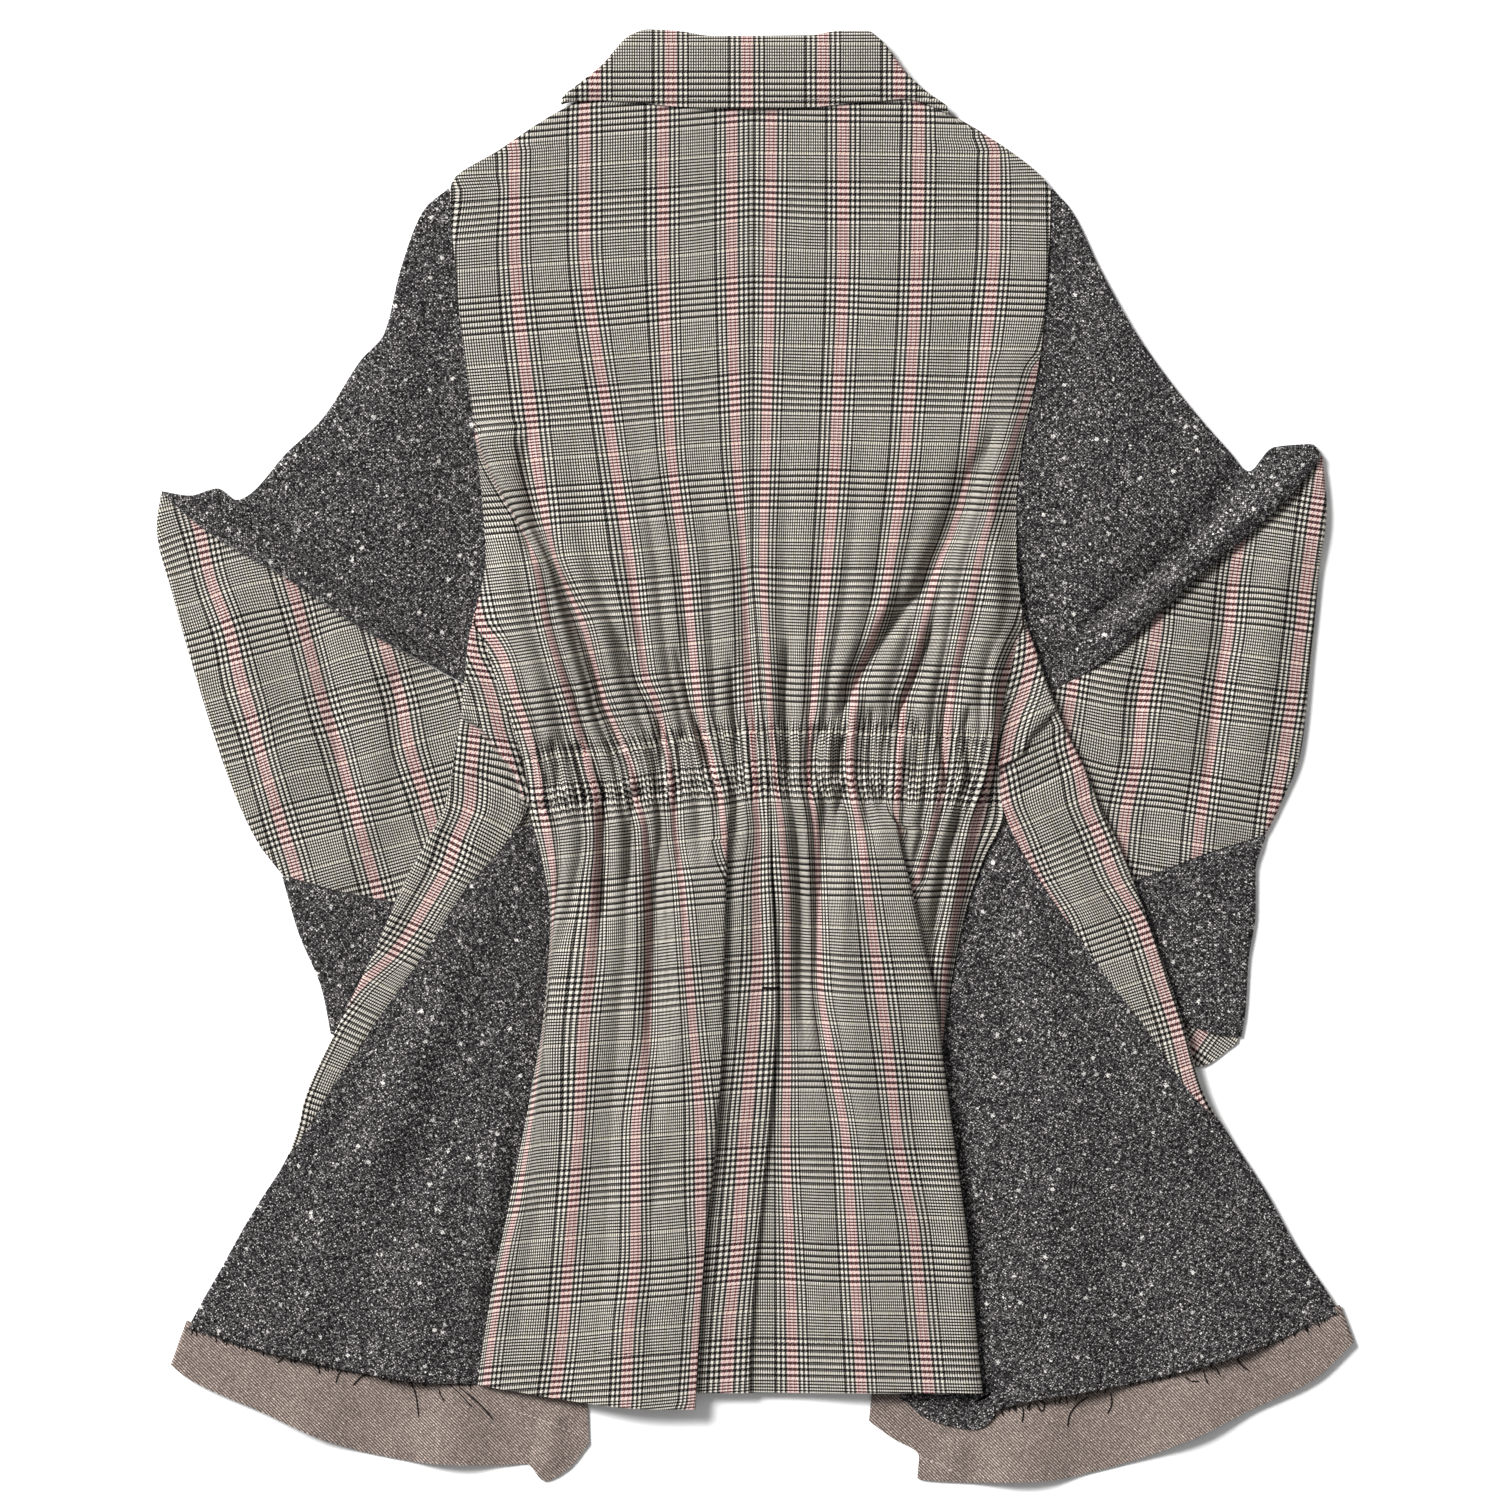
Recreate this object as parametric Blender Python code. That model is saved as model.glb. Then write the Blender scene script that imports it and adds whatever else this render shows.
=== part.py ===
"""Long blazer coat with an elasticated back waist, laid flat and face down.

Millimetres are used while the panels are worked out, and metres in the meshes. +X is to the right as the
back is seen from above, +Y runs towards the collar and +Z is up. The floor is at Z = 0.
"""

from collections import namedtuple

import bpy
import numpy as np

METRES = 0.001

# Cloth walls and the levels that the layers lie at, given at the middle of each wall.
SUITING = 1.4
TWEED = 1.5
SEAM_GAP = 0.6
FRONT_LEVEL = SUITING / 2
OVERLAP_LEVEL = FRONT_LEVEL + SUITING + 0.5
BACK_LEVEL = 5.0
SLEEVE_FLOOR = TWEED / 2
SLEEVE_FLAT = 3.4

# Garment lengths that drive the rest.
WAIST_TOP = 14
WAIST_BOTTOM = -36
VENT_TOP = -161
BACK_HEM = -446
UNDERARM = 94
SHOULDER = 395
STRIPE_REPEAT = 51

# A forearm of each sleeve runs under the side of the coat and lifts what lies over it.
ARM_LIFT = 5.0
ARM_FULL = 52
ARM_FADE = 95
Arm = namedtuple("Arm", "top_x top_y end_x end_y")
ARMS = (Arm(-203, 76, -262, -205), Arm(200, 78, 270, -205))

# Colours of the cloths.
Cloth = namedtuple("Cloth", "name colour roughness")
CHECK_CLOTH = Cloth("check_suiting", (0.33, 0.30, 0.27, 1), 0.85)
TWEED_CLOTH = Cloth("charcoal_tweed", (0.085, 0.080, 0.082, 1), 0.92)
BAND_CLOTH = Cloth("taupe_twill", (0.25, 0.20, 0.18, 1), 0.9)

# Heights of the sections of the panels, from the neck to the hem. Those along a shared seam are the same.
SIDE_ROWS = (77, 45, WAIST_TOP, -11, WAIST_BOTTOM, -60, -95, -139, -190, -244)
WRAP_ROWS = (-251, -258, -265, -272, -277, -283, -290, -310, -345, -378)
BACK_ROWS = (478, 462, 448, SHOULDER, 340, 280, 220, 165, 125, UNDERARM, 77, 45, WAIST_TOP, -11, WAIST_BOTTOM)
BACK_ROWS += (-60, -78, -95, -115, -139, -190, -244, -310, -380)
FRONT_ROWS = (448, SHOULDER, 320, 250, 215, 145, 128, 112, UNDERARM, 90, 86) + SIDE_ROWS + WRAP_ROWS + (-400,)
GODET_ROWS = (-50,) + SIDE_ROWS[5:] + WRAP_ROWS

# Each back panel: where its sections start and end across, and how wide the cloth was cut there.
BackRow = namedtuple("BackRow", "y centre side cut")
LEFT_BACK = (
    BackRow(478, -3, -62, 59),
    BackRow(463, -3, -112, 109),
    BackRow(448, -3, -142, 139),
    BackRow(423, -3, -180, 177),
    BackRow(402, -3, -212, 209),
    BackRow(395, -3, -214, 211),
    BackRow(340, -3, -210, 207),
    BackRow(297, -3, -206, 204),
    BackRow(220, -3, -196, 205),
    BackRow(136, -3, -189, 218),
    BackRow(94, 0, -196, 240),
    BackRow(77, 1, -189, 252),
    BackRow(45, 4, -179, 268),
    BackRow(14, 7, -169, 272),
    BackRow(-11, 8, -163, 272),
    BackRow(-36, 10, -160, 272),
    BackRow(-73, 10, -150, 272),
    BackRow(-115, 12, -144, 272),
    BackRow(-175, 14, -148, 270),
    BackRow(-234, 11, -157, 270),
    BackRow(-310, 4, -172, 270),
    BackRow(-393, -3, -188, 270),
    BackRow(-446, -5, -195, 270),
)
RIGHT_BACK = (
    BackRow(478, -3, 62, 65),
    BackRow(463, -3, 110, 113),
    BackRow(448, -3, 136, 139),
    BackRow(423, -3, 177, 180),
    BackRow(402, -3, 202, 205),
    BackRow(395, -3, 206, 209),
    BackRow(318, -3, 203, 206),
    BackRow(283, -3, 199, 203),
    BackRow(234, -3, 192, 199),
    BackRow(178, -3, 183, 196),
    BackRow(136, -3, 178, 200),
    BackRow(94, 0, 186, 222),
    BackRow(77, 1, 182, 226),
    BackRow(45, 4, 175, 230),
    BackRow(14, 7, 171, 230),
    BackRow(-15, 8, 170, 230),
    BackRow(-40, 10, 173, 230),
    BackRow(-73, 10, 159, 230),
    BackRow(-115, 12, 145, 230),
    BackRow(-175, 12, 134, 230),
    BackRow(-210, 12, 131, 230),
    BackRow(-263, 12, 138, 230),
    BackRow(-344, 12, 149, 230),
    BackRow(-446, 12, 160, 230),
)

# Gathers of the back waist: the place of each on the cut cloth from the centre seam, its half width, how
# strongly it folds, and how far it runs up the bodice and down the skirt.
Gather = namedtuple("Gather", "place half strength up down")
LEFT_GATHERS = (
    Gather(15, 10, 0.9, 150, -330),
    Gather(37, 11, 1.0, 210, -240),
    Gather(59, 10, 0.9, 120, -300),
    Gather(81, 11, 1.1, 250, -200),
    Gather(102, 10, 0.9, 170, -420),
    Gather(125, 11, 1.1, 330, -260),
    Gather(148, 11, 1.0, 150, -430),
    Gather(170, 10, 0.9, 210, -380),
    Gather(193, 11, 1.1, 310, -410),
    Gather(215, 10, 0.9, 140, -280),
    Gather(237, 11, 1.0, 220, -330),
    Gather(258, 10, 0.9, 110, -180),
)
RIGHT_GATHERS = (
    Gather(16, 11, 0.9, 140, -400),
    Gather(39, 11, 1.0, 240, -300),
    Gather(63, 12, 1.1, 320, -430),
    Gather(87, 11, 0.9, 180, -350),
    Gather(110, 11, 1.0, 290, -410),
    Gather(133, 11, 0.9, 130, -260),
    Gather(153, 9, 1.0, 210, -200),
    Gather(178, 11, 1.1, 270, -220),
    Gather(199, 10, 0.9, 150, -300),
    Gather(218, 9, 0.9, 110, -170),
)

# Pleats that run on to the hem: where the fold's edge is on the cut cloth, whether the cloth beyond it lies
# on top or beneath, where the pleat starts and is turned right over, how much it takes under at the hem, and
# how early on the way down it has done so.
Pleat = namedtuple("Pleat", "edge layer start full depth haste")
LEFT_PLEAT = Pleat(116, 1, -42, -80, 39, 5.0)
RIGHT_PLEAT = Pleat(165, -1, -42, -80, 40, 6.0)
PLEAT_TURN = 6.2
PLEAT_LEAST = 7.0
VENT_UNDERLAP = 34
VENT_RISE = 3.2

# Sides of the coat, where cloth folds from the underside to the back. Fronts run from the neck and centre out
# to the fold; strip is how far they come round it on to the back, or how far short of it they stop.
SideRow = namedtuple("SideRow", "y centre fold strip")
LEFT_SIDE = (
    SideRow(448, -112, -142, -4),
    SideRow(423, -99, -180, -4),
    SideRow(395, -88, -214, -4),
    SideRow(340, -64, -210, -4),
    SideRow(297, -42, -206, -4),
    SideRow(250, -8, -200, -4),
    SideRow(220, 18, -196, -4),
    SideRow(136, 20, -190, -4),
    SideRow(115, 20, -192, -4),
    SideRow(94, 20, -198, 0),
    SideRow(77, 20, -201, 13),
    SideRow(45, 20, -204, 26),
    SideRow(14, 20, -208, 40),
    SideRow(-11, 20, -212, 50),
    SideRow(-36, 20, -217, 58),
    SideRow(-60, 20, -230, 57),
    SideRow(-95, 20, -248, 45),
    SideRow(-139, 20, -267, 36),
    SideRow(-190, 20, -292, 25),
    SideRow(-244, 20, -316, 14),
    SideRow(-258, 20, -319, 8.5),
    SideRow(-272, 20, -323.5, 4),
    SideRow(-290, 20, -332, -5),
    SideRow(-311, 20, -346, -14),
    SideRow(-332, 20, -360, -26),
    SideRow(-374, 20, -384, -54),
    SideRow(-402, 20, -398, -74),
)
RIGHT_SIDE = (
    SideRow(448, 110, 137, -4),
    SideRow(423, 97, 178, -4),
    SideRow(395, 86, 206, -4),
    SideRow(318, 52, 203, -4),
    SideRow(283, 30, 199, -4),
    SideRow(250, 8, 194, -4),
    SideRow(220, -18, 190, -4),
    SideRow(136, -20, 179, -4),
    SideRow(115, -20, 181, -4),
    SideRow(94, -20, 188, 0),
    SideRow(77, -20, 194, 13),
    SideRow(45, -20, 205, 31),
    SideRow(14, -20, 218, 48),
    SideRow(-11, -20, 230, 61),
    SideRow(-36, -20, 240, 68),
    SideRow(-60, -20, 252, 71),
    SideRow(-95, -20, 266, 64),
    SideRow(-139, -20, 282, 49),
    SideRow(-190, -20, 299, 29),
    SideRow(-230, -20, 310, 12),
    SideRow(-244, -20, 316, 6),
    SideRow(-258, -20, 325, 0),
    SideRow(-272, -20, 334, -6),
    SideRow(-290, -20, 346, -15),
    SideRow(-332, -20, 373, -40),
    SideRow(-374, -20, 400, -68),
    SideRow(-402, -20, 412, -84),
)
FRONT_HEM = -440

# Edge of the tweed over the hem band, from the skirt seam out to the side.
EdgePoint = namedtuple("EdgePoint", "x y")
LEFT_RAW_EDGE = (
    EdgePoint(-195, -440), EdgePoint(-228, -439), EdgePoint(-277, -432), EdgePoint(-340, -418),
    EdgePoint(-398, -401),
)
RIGHT_RAW_EDGE = (
    EdgePoint(159, -456), EdgePoint(172, -457), EdgePoint(255, -441), EdgePoint(332, -422),
    EdgePoint(408, -390),
)

# Hem bands: the lower edge along the hem, from the inner end out to the corner.
LEFT_BAND_HEM = (
    EdgePoint(-117, -482), EdgePoint(-132, -500), EdgePoint(-148, -508), EdgePoint(-161, -496),
    EdgePoint(-180, -497), EdgePoint(-221, -496), EdgePoint(-263, -490), EdgePoint(-302, -479),
    EdgePoint(-347, -459), EdgePoint(-396, -437), EdgePoint(-409, -427),
)
RIGHT_BAND_HEM = (
    EdgePoint(79, -466), EdgePoint(94, -477), EdgePoint(114, -491), EdgePoint(113, -506),
    EdgePoint(157, -509), EdgePoint(199, -508), EdgePoint(242, -500), EdgePoint(304, -479),
    EdgePoint(346, -458), EdgePoint(390, -437), EdgePoint(418, -411),
)
LEFT_BAND_END = EdgePoint(-118, -452)
RIGHT_BAND_END = EdgePoint(81, -452)

# Sleeves: the outlines of the three tiers of each, by their outer edge, inner edge and lower seam.
Tier = namedtuple("Tier", "outer inner lower")
LEFT_SLEEVE = (
    Tier(
        outer=((-215, 396), (-232, 381), (-248, 340), (-260, 294), (-276, 276), (-303, 235), (-326, 213),
               (-364, 178), (-377, 186), (-396, 181), (-416, 184)),
        inner=((-174, 104), (-184, 80), (-196, 46)),
        lower=((-416, 184), (-381, 155), (-326, 123), (-288, 97), (-234, 66), (-196, 46)),
    ),
    Tier(
        outer=((-416, 183), (-419, 160), (-407, 109), (-389, 46), (-368, -18), (-349, -60), (-331, -84)),
        inner=((-196, 45), (-193, 10), (-191, -31), (-192, -73), (-198, -113)),
        lower=((-331, -84), (-292, -95), (-252, -103), (-198, -113)),
    ),
    Tier(
        outer=((-331, -85), (-320, -123), (-303, -165), (-297, -195)),
        inner=((-198, -114), (-211, -157), (-232, -206)),
        lower=((-297, -195), (-263, -203), (-232, -206)),
    ),
)
RIGHT_SLEEVE = (
    Tier(
        outer=((207, 396), (220, 381), (240, 340), (264, 297), (294, 255), (330, 213), (345, 198), (363, 215),
               (389, 217), (395, 210)),
        inner=((164, 104), (178, 80), (197, 41)),
        lower=((395, 210), (376, 185), (350, 160), (315, 131), (272, 91), (240, 64), (197, 41)),
    ),
    Tier(
        outer=((396, 209), (399, 172), (394, 130), (388, 67), (381, 3), (365, -38), (356, -56)),
        inner=((197, 40), (199, 10), (201, -31), (206, -73), (214, -105)),
        lower=((356, -56), (320, -67), (270, -86), (214, -105)),
    ),
    Tier(
        outer=((356, -57), (349, -81), (349, -109), (344, -144), (342, -178), (339, -197)),
        inner=((214, -106), (227, -157), (245, -200)),
        lower=((339, -197), (321, -195), (302, -189), (245, -200)),
    ),
)
# Height of each tier's upper layer across it, from the outer edge to the inner one, at its top and bottom.
TierHeights = namedtuple("TierHeights", "crown_top crown_bottom ridge ridge_place")
SLEEVE_HEIGHTS = (TierHeights(7.0, 9.0, 7.0, 0.93), TierHeights(8.5, 6.5, 2.0, 0.45), TierHeights(6.5, 4.5, 0.0, 0.5))
SLEEVE_VALLEY = 3.0
# Turned facing that shows below the right cuff.
RIGHT_CUFF_FACING = Tier(
    outer=((338, -198.6), (337, -201), (335, -203)),
    inner=((262, -199.1), (264, -212), (266, -221)),
    lower=((335, -203), (311, -218), (266, -221)),
)
FACING_UPPER = ((338, -198.6), (321, -196.5), (302, -191.3), (262, -199.1))

# Collar: the roll along its top and sides, the edge of the fall, and the neck seam under it.
CollarRow = namedtuple("CollarRow", "x roll fall neck")
COLLAR = (
    CollarRow(-133, 463, 457, 459),
    CollarRow(-124, 469, 457.5, 463),
    CollarRow(-108, 482, 458, 468),
    CollarRow(-88, 503, 456.5, 473),
    CollarRow(-76, 507, 455.5, 476),
    CollarRow(-55, 506, 453.5, 480),
    CollarRow(-30, 502.5, 452.5, 481),
    CollarRow(0, 502.5, 452, 481),
    CollarRow(38, 503, 453, 481),
    CollarRow(58, 506, 455, 479.5),
    CollarRow(78, 506, 456.5, 475.5),
    CollarRow(88, 499, 457.5, 473),
    CollarRow(104, 478, 459, 468),
    CollarRow(120, 463, 455, 458),
    CollarRow(131, 456.5, 450, 452),
)
COLLAR_STAND = 3.4
COLLAR_FALL = 9.0


def column(rows, name):
    """One named column of a table."""
    return np.array([getattr(row, name) for row in rows], float)


def smooth_through(knots, values, at):
    """Values at given places on a smooth curve through the knots that never overshoots them."""
    order = np.argsort(knots)
    knots = np.asarray(knots, float)[order]
    values = np.asarray(values, float)[order]
    steps = np.diff(knots)
    slopes = np.diff(values) / steps
    tangents = np.empty(len(knots))
    tangents[0] = slopes[0]
    tangents[-1] = slopes[-1]
    same_way = slopes[:-1] * slopes[1:] > 0
    safe = np.where(same_way, slopes[:-1] + slopes[1:], 1)
    tangents[1:-1] = np.where(same_way, 2 * slopes[:-1] * slopes[1:] / safe, 0)
    at = np.clip(np.asarray(at, float), knots[0], knots[-1])
    cell = np.clip(np.searchsorted(knots, at) - 1, 0, len(steps) - 1)
    share = (at - knots[cell]) / steps[cell]
    width = steps[cell]
    start = (1 + 2 * share) * (1 - share) ** 2 * values[cell] + share * (1 - share) ** 2 * width * tangents[cell]
    end = share**2 * (3 - 2 * share) * values[cell + 1] + share**2 * (share - 1) * width * tangents[cell + 1]
    return start + end


def across(rows, name, y):
    """A table's column at height y."""
    return smooth_through(column(rows, "y"), column(rows, name), y)


def along_line(points, shares):
    """Points at given shares of the length of a line through the given points."""
    points = np.asarray(points, float)
    lengths = np.concatenate([[0], np.cumsum(np.linalg.norm(np.diff(points, axis=0), axis=1))])
    places = np.asarray(shares) * lengths[-1]
    return np.stack([smooth_through(lengths, points[:, axis], places) for axis in (0, 1)], axis=-1)


def ease(low, high, value):
    """Rises smoothly from 0 at low to 1 at high."""
    share = np.clip((np.asarray(value, float) - low) / (high - low), 0, 1)
    return share * share * (3 - 2 * share)


def arm_lift(x, y):
    """How far the forearms underneath lift the coat at a place."""
    lift = np.zeros(np.broadcast(x, y).shape)
    for arm in ARMS:
        run = np.array([arm.end_x - arm.top_x, arm.end_y - arm.top_y], float)
        share = ((x - arm.top_x) * run[0] + (y - arm.top_y) * run[1]) / (run @ run)
        share = np.clip(share, 0, 1)
        away = np.hypot(x - arm.top_x - share * run[0], y - arm.top_y - share * run[1])
        lift = np.maximum(lift, ARM_LIFT * (1 - ease(ARM_FULL, ARM_FADE, away)))
    return lift


def cloth_material(cloth):
    """The material of a cloth, made once."""
    material = bpy.data.materials.get(cloth.name)
    if material is None:
        material = bpy.data.materials.new(cloth.name)
        material.use_nodes = True
        shader = material.node_tree.nodes["Principled BSDF"]
        shader.inputs["Base Color"].default_value = cloth.colour
        shader.inputs["Roughness"].default_value = cloth.roughness
        shader.inputs["Metallic"].default_value = 0.0
    return material


def wall_normals(grid, tube):
    """Unit normals of a grid of points."""
    if tube:
        over = np.roll(grid, -1, axis=1) - np.roll(grid, 1, axis=1)
    else:
        over = np.gradient(grid, axis=1)
    normals = np.cross(over, np.gradient(grid, axis=0))
    return normals / np.linalg.norm(normals, axis=2, keepdims=True)


def section_normals(grid):
    """Normals in the upright plane of each section, long enough in its corners to keep the wall's thickness."""
    runs = np.diff(grid[:, :, [0, 2]], axis=1)
    runs /= np.linalg.norm(runs, axis=2, keepdims=True)
    sides = np.stack([-runs[:, :, 1], runs[:, :, 0]], axis=2)
    before = np.concatenate([sides[:, :1], sides], axis=1)
    after = np.concatenate([sides, sides[:, -1:]], axis=1)
    middle = before + after
    middle /= np.linalg.norm(middle, axis=2, keepdims=True)
    middle /= np.clip((middle * after).sum(axis=2, keepdims=True), 0.75, 1)
    return np.stack([middle[:, :, 0], np.zeros(grid.shape[:2]), middle[:, :, 1]], axis=2)


def wall(name, grid, thickness, cloth, tube=False, sections=False):
    """A closed solid: the grid of points, rows by columns, thickened both ways along its normals."""
    rows, columns = grid.shape[:2]
    normals = section_normals(grid) if sections else wall_normals(grid, tube)
    half = normals * thickness / 2
    points = np.concatenate([(grid + half).reshape(-1, 3), (grid - half).reshape(-1, 3)])
    under = rows * columns

    def at(row, place):
        return row * columns + place % columns

    faces = []
    for row in range(rows - 1):
        for place in range(columns if tube else columns - 1):
            corners = at(row, place), at(row, place + 1), at(row + 1, place + 1), at(row + 1, place)
            for a, b, c in (corners[:3], (corners[0], corners[2], corners[3])):
                faces.append((a, b, c))
                faces.append((c + under, b + under, a + under))
    rim = [(at(0, k + 1), at(0, k)) for k in range(columns if tube else columns - 1)]
    rim += [(at(rows - 1, k), at(rows - 1, k + 1)) for k in range(columns if tube else columns - 1)]
    if not tube:
        rim += [(at(k, 0), at(k + 1, 0)) for k in range(rows - 1)]
        rim += [(at(k + 1, columns - 1), at(k, columns - 1)) for k in range(rows - 1)]
    for a, b in rim:
        faces.append((a, b, b + under))
        faces.append((a, b + under, a + under))
    corners = points[np.array(faces)]
    if np.linalg.det(corners).sum() < 0:
        faces = [face[::-1] for face in faces]
    mesh = bpy.data.meshes.new(name)
    mesh.from_pydata((points * METRES).tolist(), [], faces)
    mesh.shade_smooth()
    mesh.set_sharp_from_angle(angle=np.radians(50))
    mesh.materials.append(cloth_material(cloth))
    part = bpy.data.objects.new(name, mesh)
    bpy.context.scene.collection.objects.link(part)
    return part


def pleat_at(pleat, y):
    """How far a pleat has turned and how deep it is at a height."""
    share = np.clip((pleat.full - y) / (pleat.full - BACK_HEM), 0, 1)
    depth = PLEAT_LEAST + (pleat.depth - PLEAT_LEAST) * (1 - (1 - share) ** pleat.haste)
    return float(ease(pleat.start, pleat.full, y)), float(depth)


def gather_weights(gathers, pleat, y):
    """How strongly each gather folds at a height; those inside a pleat lie flat."""
    turned, depth = pleat_at(pleat, y)
    weights = []
    for gather in gathers:
        up = ease(gather.up, WAIST_TOP + 15, y)
        down = ease(gather.down, WAIST_BOTTOM - 15, y)
        low = pleat.edge - (2 * depth + 2 if pleat.layer > 0 else depth + 8)
        high = pleat.edge + (8 if pleat.layer > 0 else depth + 2)
        inside = gather.place + gather.half > low and gather.place - gather.half < high
        weights.append(gather.strength * (0.12 + 0.88 * up * down) * (1 - turned * inside))
    return weights


def back_columns(gathers, pleat, depth, start, cut):
    """Places on the cut cloth of one section: the crests and troughs of the gathers and the pleat's turns."""
    crests = [gather.place for gather in gathers]
    troughs = [(one + two) / 2 for one, two in zip(crests, crests[1:])] + [crests[0] / 2, (crests[-1] + cut) / 2]
    marks = np.array(sorted(crests + troughs))
    half = PLEAT_TURN / 2
    inner = pleat.edge - depth
    still = pleat.edge - pleat.depth - half - 4
    reach = pleat.edge - PLEAT_LEAST - half
    moving = marks[(marks >= still) & (marks < reach - 2)]
    moving = still + (moving - still) * (inner - half - still) / (reach - still)
    turn = np.linspace(-half, half, 4)
    return np.concatenate([
        [start], marks[marks < still], moving, inner + turn, pleat.edge + turn,
        marks[marks > pleat.edge + half + 3], [cut],
    ])


def back_section(gathers, pleat, y, places, cut, laid):
    """Across and up for places on the cut cloth, folded so that the section is as wide as it lies."""
    turned, depth = pleat_at(pleat, y)
    weights = gather_weights(gathers, pleat, y)
    fine = np.linspace(min(places[0], 0), cut, 1601)
    step = fine[1] - fine[0]
    inner = pleat.edge - depth
    half = PLEAT_TURN / 2
    turning = ease(inner - half, inner + half, fine) - ease(pleat.edge - half, pleat.edge + half, fine)
    pleat_angle = np.pi * turned * pleat.layer * turning
    waves = np.zeros_like(fine)
    for gather, weight in zip(gathers, weights):
        across_fold = np.clip((fine - gather.place) / gather.half, -1, 1)
        waves -= weight * np.sin(np.pi * across_fold)

    def fold(amount):
        angle = pleat_angle + amount * waves
        middle = (angle[1:] + angle[:-1]) / 2
        run = np.concatenate([[0], np.cumsum(np.cos(middle) * step)])
        rise = np.concatenate([[0], np.cumsum(np.sin(middle) * step)])
        return run - np.interp(0, fine, run), rise

    low, high = 0.0, 2.4
    for _ in range(40):
        amount = (low + high) / 2
        if fold(amount)[0][-1] > laid:
            low = amount
        else:
            high = amount
    run, rise = fold(low)
    run[fine > 0] *= laid / run[-1]
    step_up = rise[-1] - rise[0]
    if pleat.layer > 0:
        rise = rise - step_up * ease(pleat.edge + depth + 12, cut, fine)
    else:
        rise = rise - step_up * ease(0, inner - depth - 12, fine)
    return np.interp(places, fine, run), np.interp(places, fine, rise)


def back_panel(name, table, gathers, pleat, out):
    """One half of the back, from the neck to the hem. out is -1 to the left and 1 to the right."""
    waist_cut = float(across(table, "cut", WAIST_TOP))
    grid = []
    for y in BACK_ROWS + (BACK_HEM,):
        cut = float(across(table, "cut", y))
        seam = float(across(table, "centre", y)) + out * SEAM_GAP / 2
        laid = out * (float(across(table, "side", y)) - seam)
        turned, depth = pleat_at(pleat, y)
        below_vent = float(ease(VENT_TOP + 20, VENT_TOP - 25, y))
        start = -VENT_UNDERLAP * below_vent if out > 0 else 0.0
        places = back_columns(gathers, pleat, depth, start, waist_cut)
        scale = cut / waist_cut
        run, rise = back_section(gathers, pleat, y, places, waist_cut, laid / scale)
        x = seam + out * run * scale
        z = BACK_LEVEL + rise + arm_lift(x, y)
        if out < 0:
            lifted = VENT_RISE * ease(WAIST_BOTTOM - 20, VENT_TOP + 24, y)
            z = z + lifted * (1 - ease(pleat.edge + depth + 12, waist_cut, places))
        heights = np.full_like(x, y)
        if y == BACK_HEM:
            heights += back_hem(places, pleat, waist_cut, out)
        grid.append(np.stack([x, heights, z], axis=-1))
    wall(name, np.array(grid), SUITING, CHECK_CLOTH, sections=True)


def back_hem(places, pleat, cut, out):
    """How far the hem lies below or above its level, for places on the cut cloth."""
    if out > 0:
        return 3.0 * ease(pleat.edge, cut, places)
    step = -11.0 * ease(pleat.edge - pleat.depth, pleat.edge, places)
    return step + 17.0 * ease(pleat.edge + 30, cut, places)


def side_section(table, y, around, out):
    """Points of the side of the coat, by how far round its fold they are: minus under, plus on the back."""
    radius = (BACK_LEVEL - FRONT_LEVEL) / 2
    quarter = radius * np.pi / 2
    fold = across(table, "fold", y)
    angle = np.clip(around, -quarter, quarter) / radius
    flat = np.maximum(np.abs(around) - quarter, 0)
    inward = radius - radius * np.cos(angle) + flat
    x = fold - out * inward
    z = FRONT_LEVEL + radius + radius * np.sin(angle) + arm_lift(x, y)
    return np.stack([x, np.broadcast_to(y, x.shape).astype(float), z], axis=-1)


def fold_quarter():
    """Length of a quarter turn of the side fold."""
    return (BACK_LEVEL - FRONT_LEVEL) / 2 * np.pi / 2


def wrap_gap(strip):
    """Half the gap between a front and its godet, wider where their seam goes round the fold."""
    return SEAM_GAP / 2 + 0.5 * (1 - ease(3.4, 8, abs(strip)))


def front_panel(name, table, out, overlap):
    """A front, from its centre edge along the floor and round the side to the seam on the back."""
    quarter = fold_quarter()
    radius = (BACK_LEVEL - FRONT_LEVEL) / 2
    grid = []
    for y in FRONT_ROWS + (FRONT_HEM,):
        at = max(y, FRONT_ROWS[-1])
        fold = float(across(table, "fold", at))
        centre = float(across(table, "centre", at))
        strip = float(across(table, "strip", at))
        strip -= float(wrap_gap(strip))
        inner = -(abs(fold - centre) - radius + quarter)
        if strip > quarter + 5:
            turn = [-quarter, -quarter / 2, 0, quarter / 2, quarter]
            edge = turn + [quarter + (strip - quarter) * share for share in (0.5, 1)]
        else:
            edge = list(np.linspace(min(-quarter, strip - 8), strip, 7))
        shares = np.array((0, 0.25, 0.5, 0.68, 0.82, 0.92))
        around = np.concatenate([inner + (edge[0] - inner) * shares, edge])
        points = side_section(table, np.full(len(around), float(at)), around, out)
        if overlap:
            under = ease(-120, -50, -out * points[:, 0]) * ease(300, 255, at)
            points[:, 2] += (OVERLAP_LEVEL - FRONT_LEVEL) * under
        if y == FRONT_HEM:
            share = (around - around[0]) / (around[-1] - around[0])
            points[:, 1] = FRONT_HEM + 30 * ease(0.2, 1, share)
        grid.append(points)
    wall(name, np.array(grid), SUITING, CHECK_CLOTH, sections=True)


def raw_edge(points, x):
    """Height of the tweed's lower edge at places across."""
    return smooth_through(column(points, "x"), column(points, "y"), x)


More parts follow.
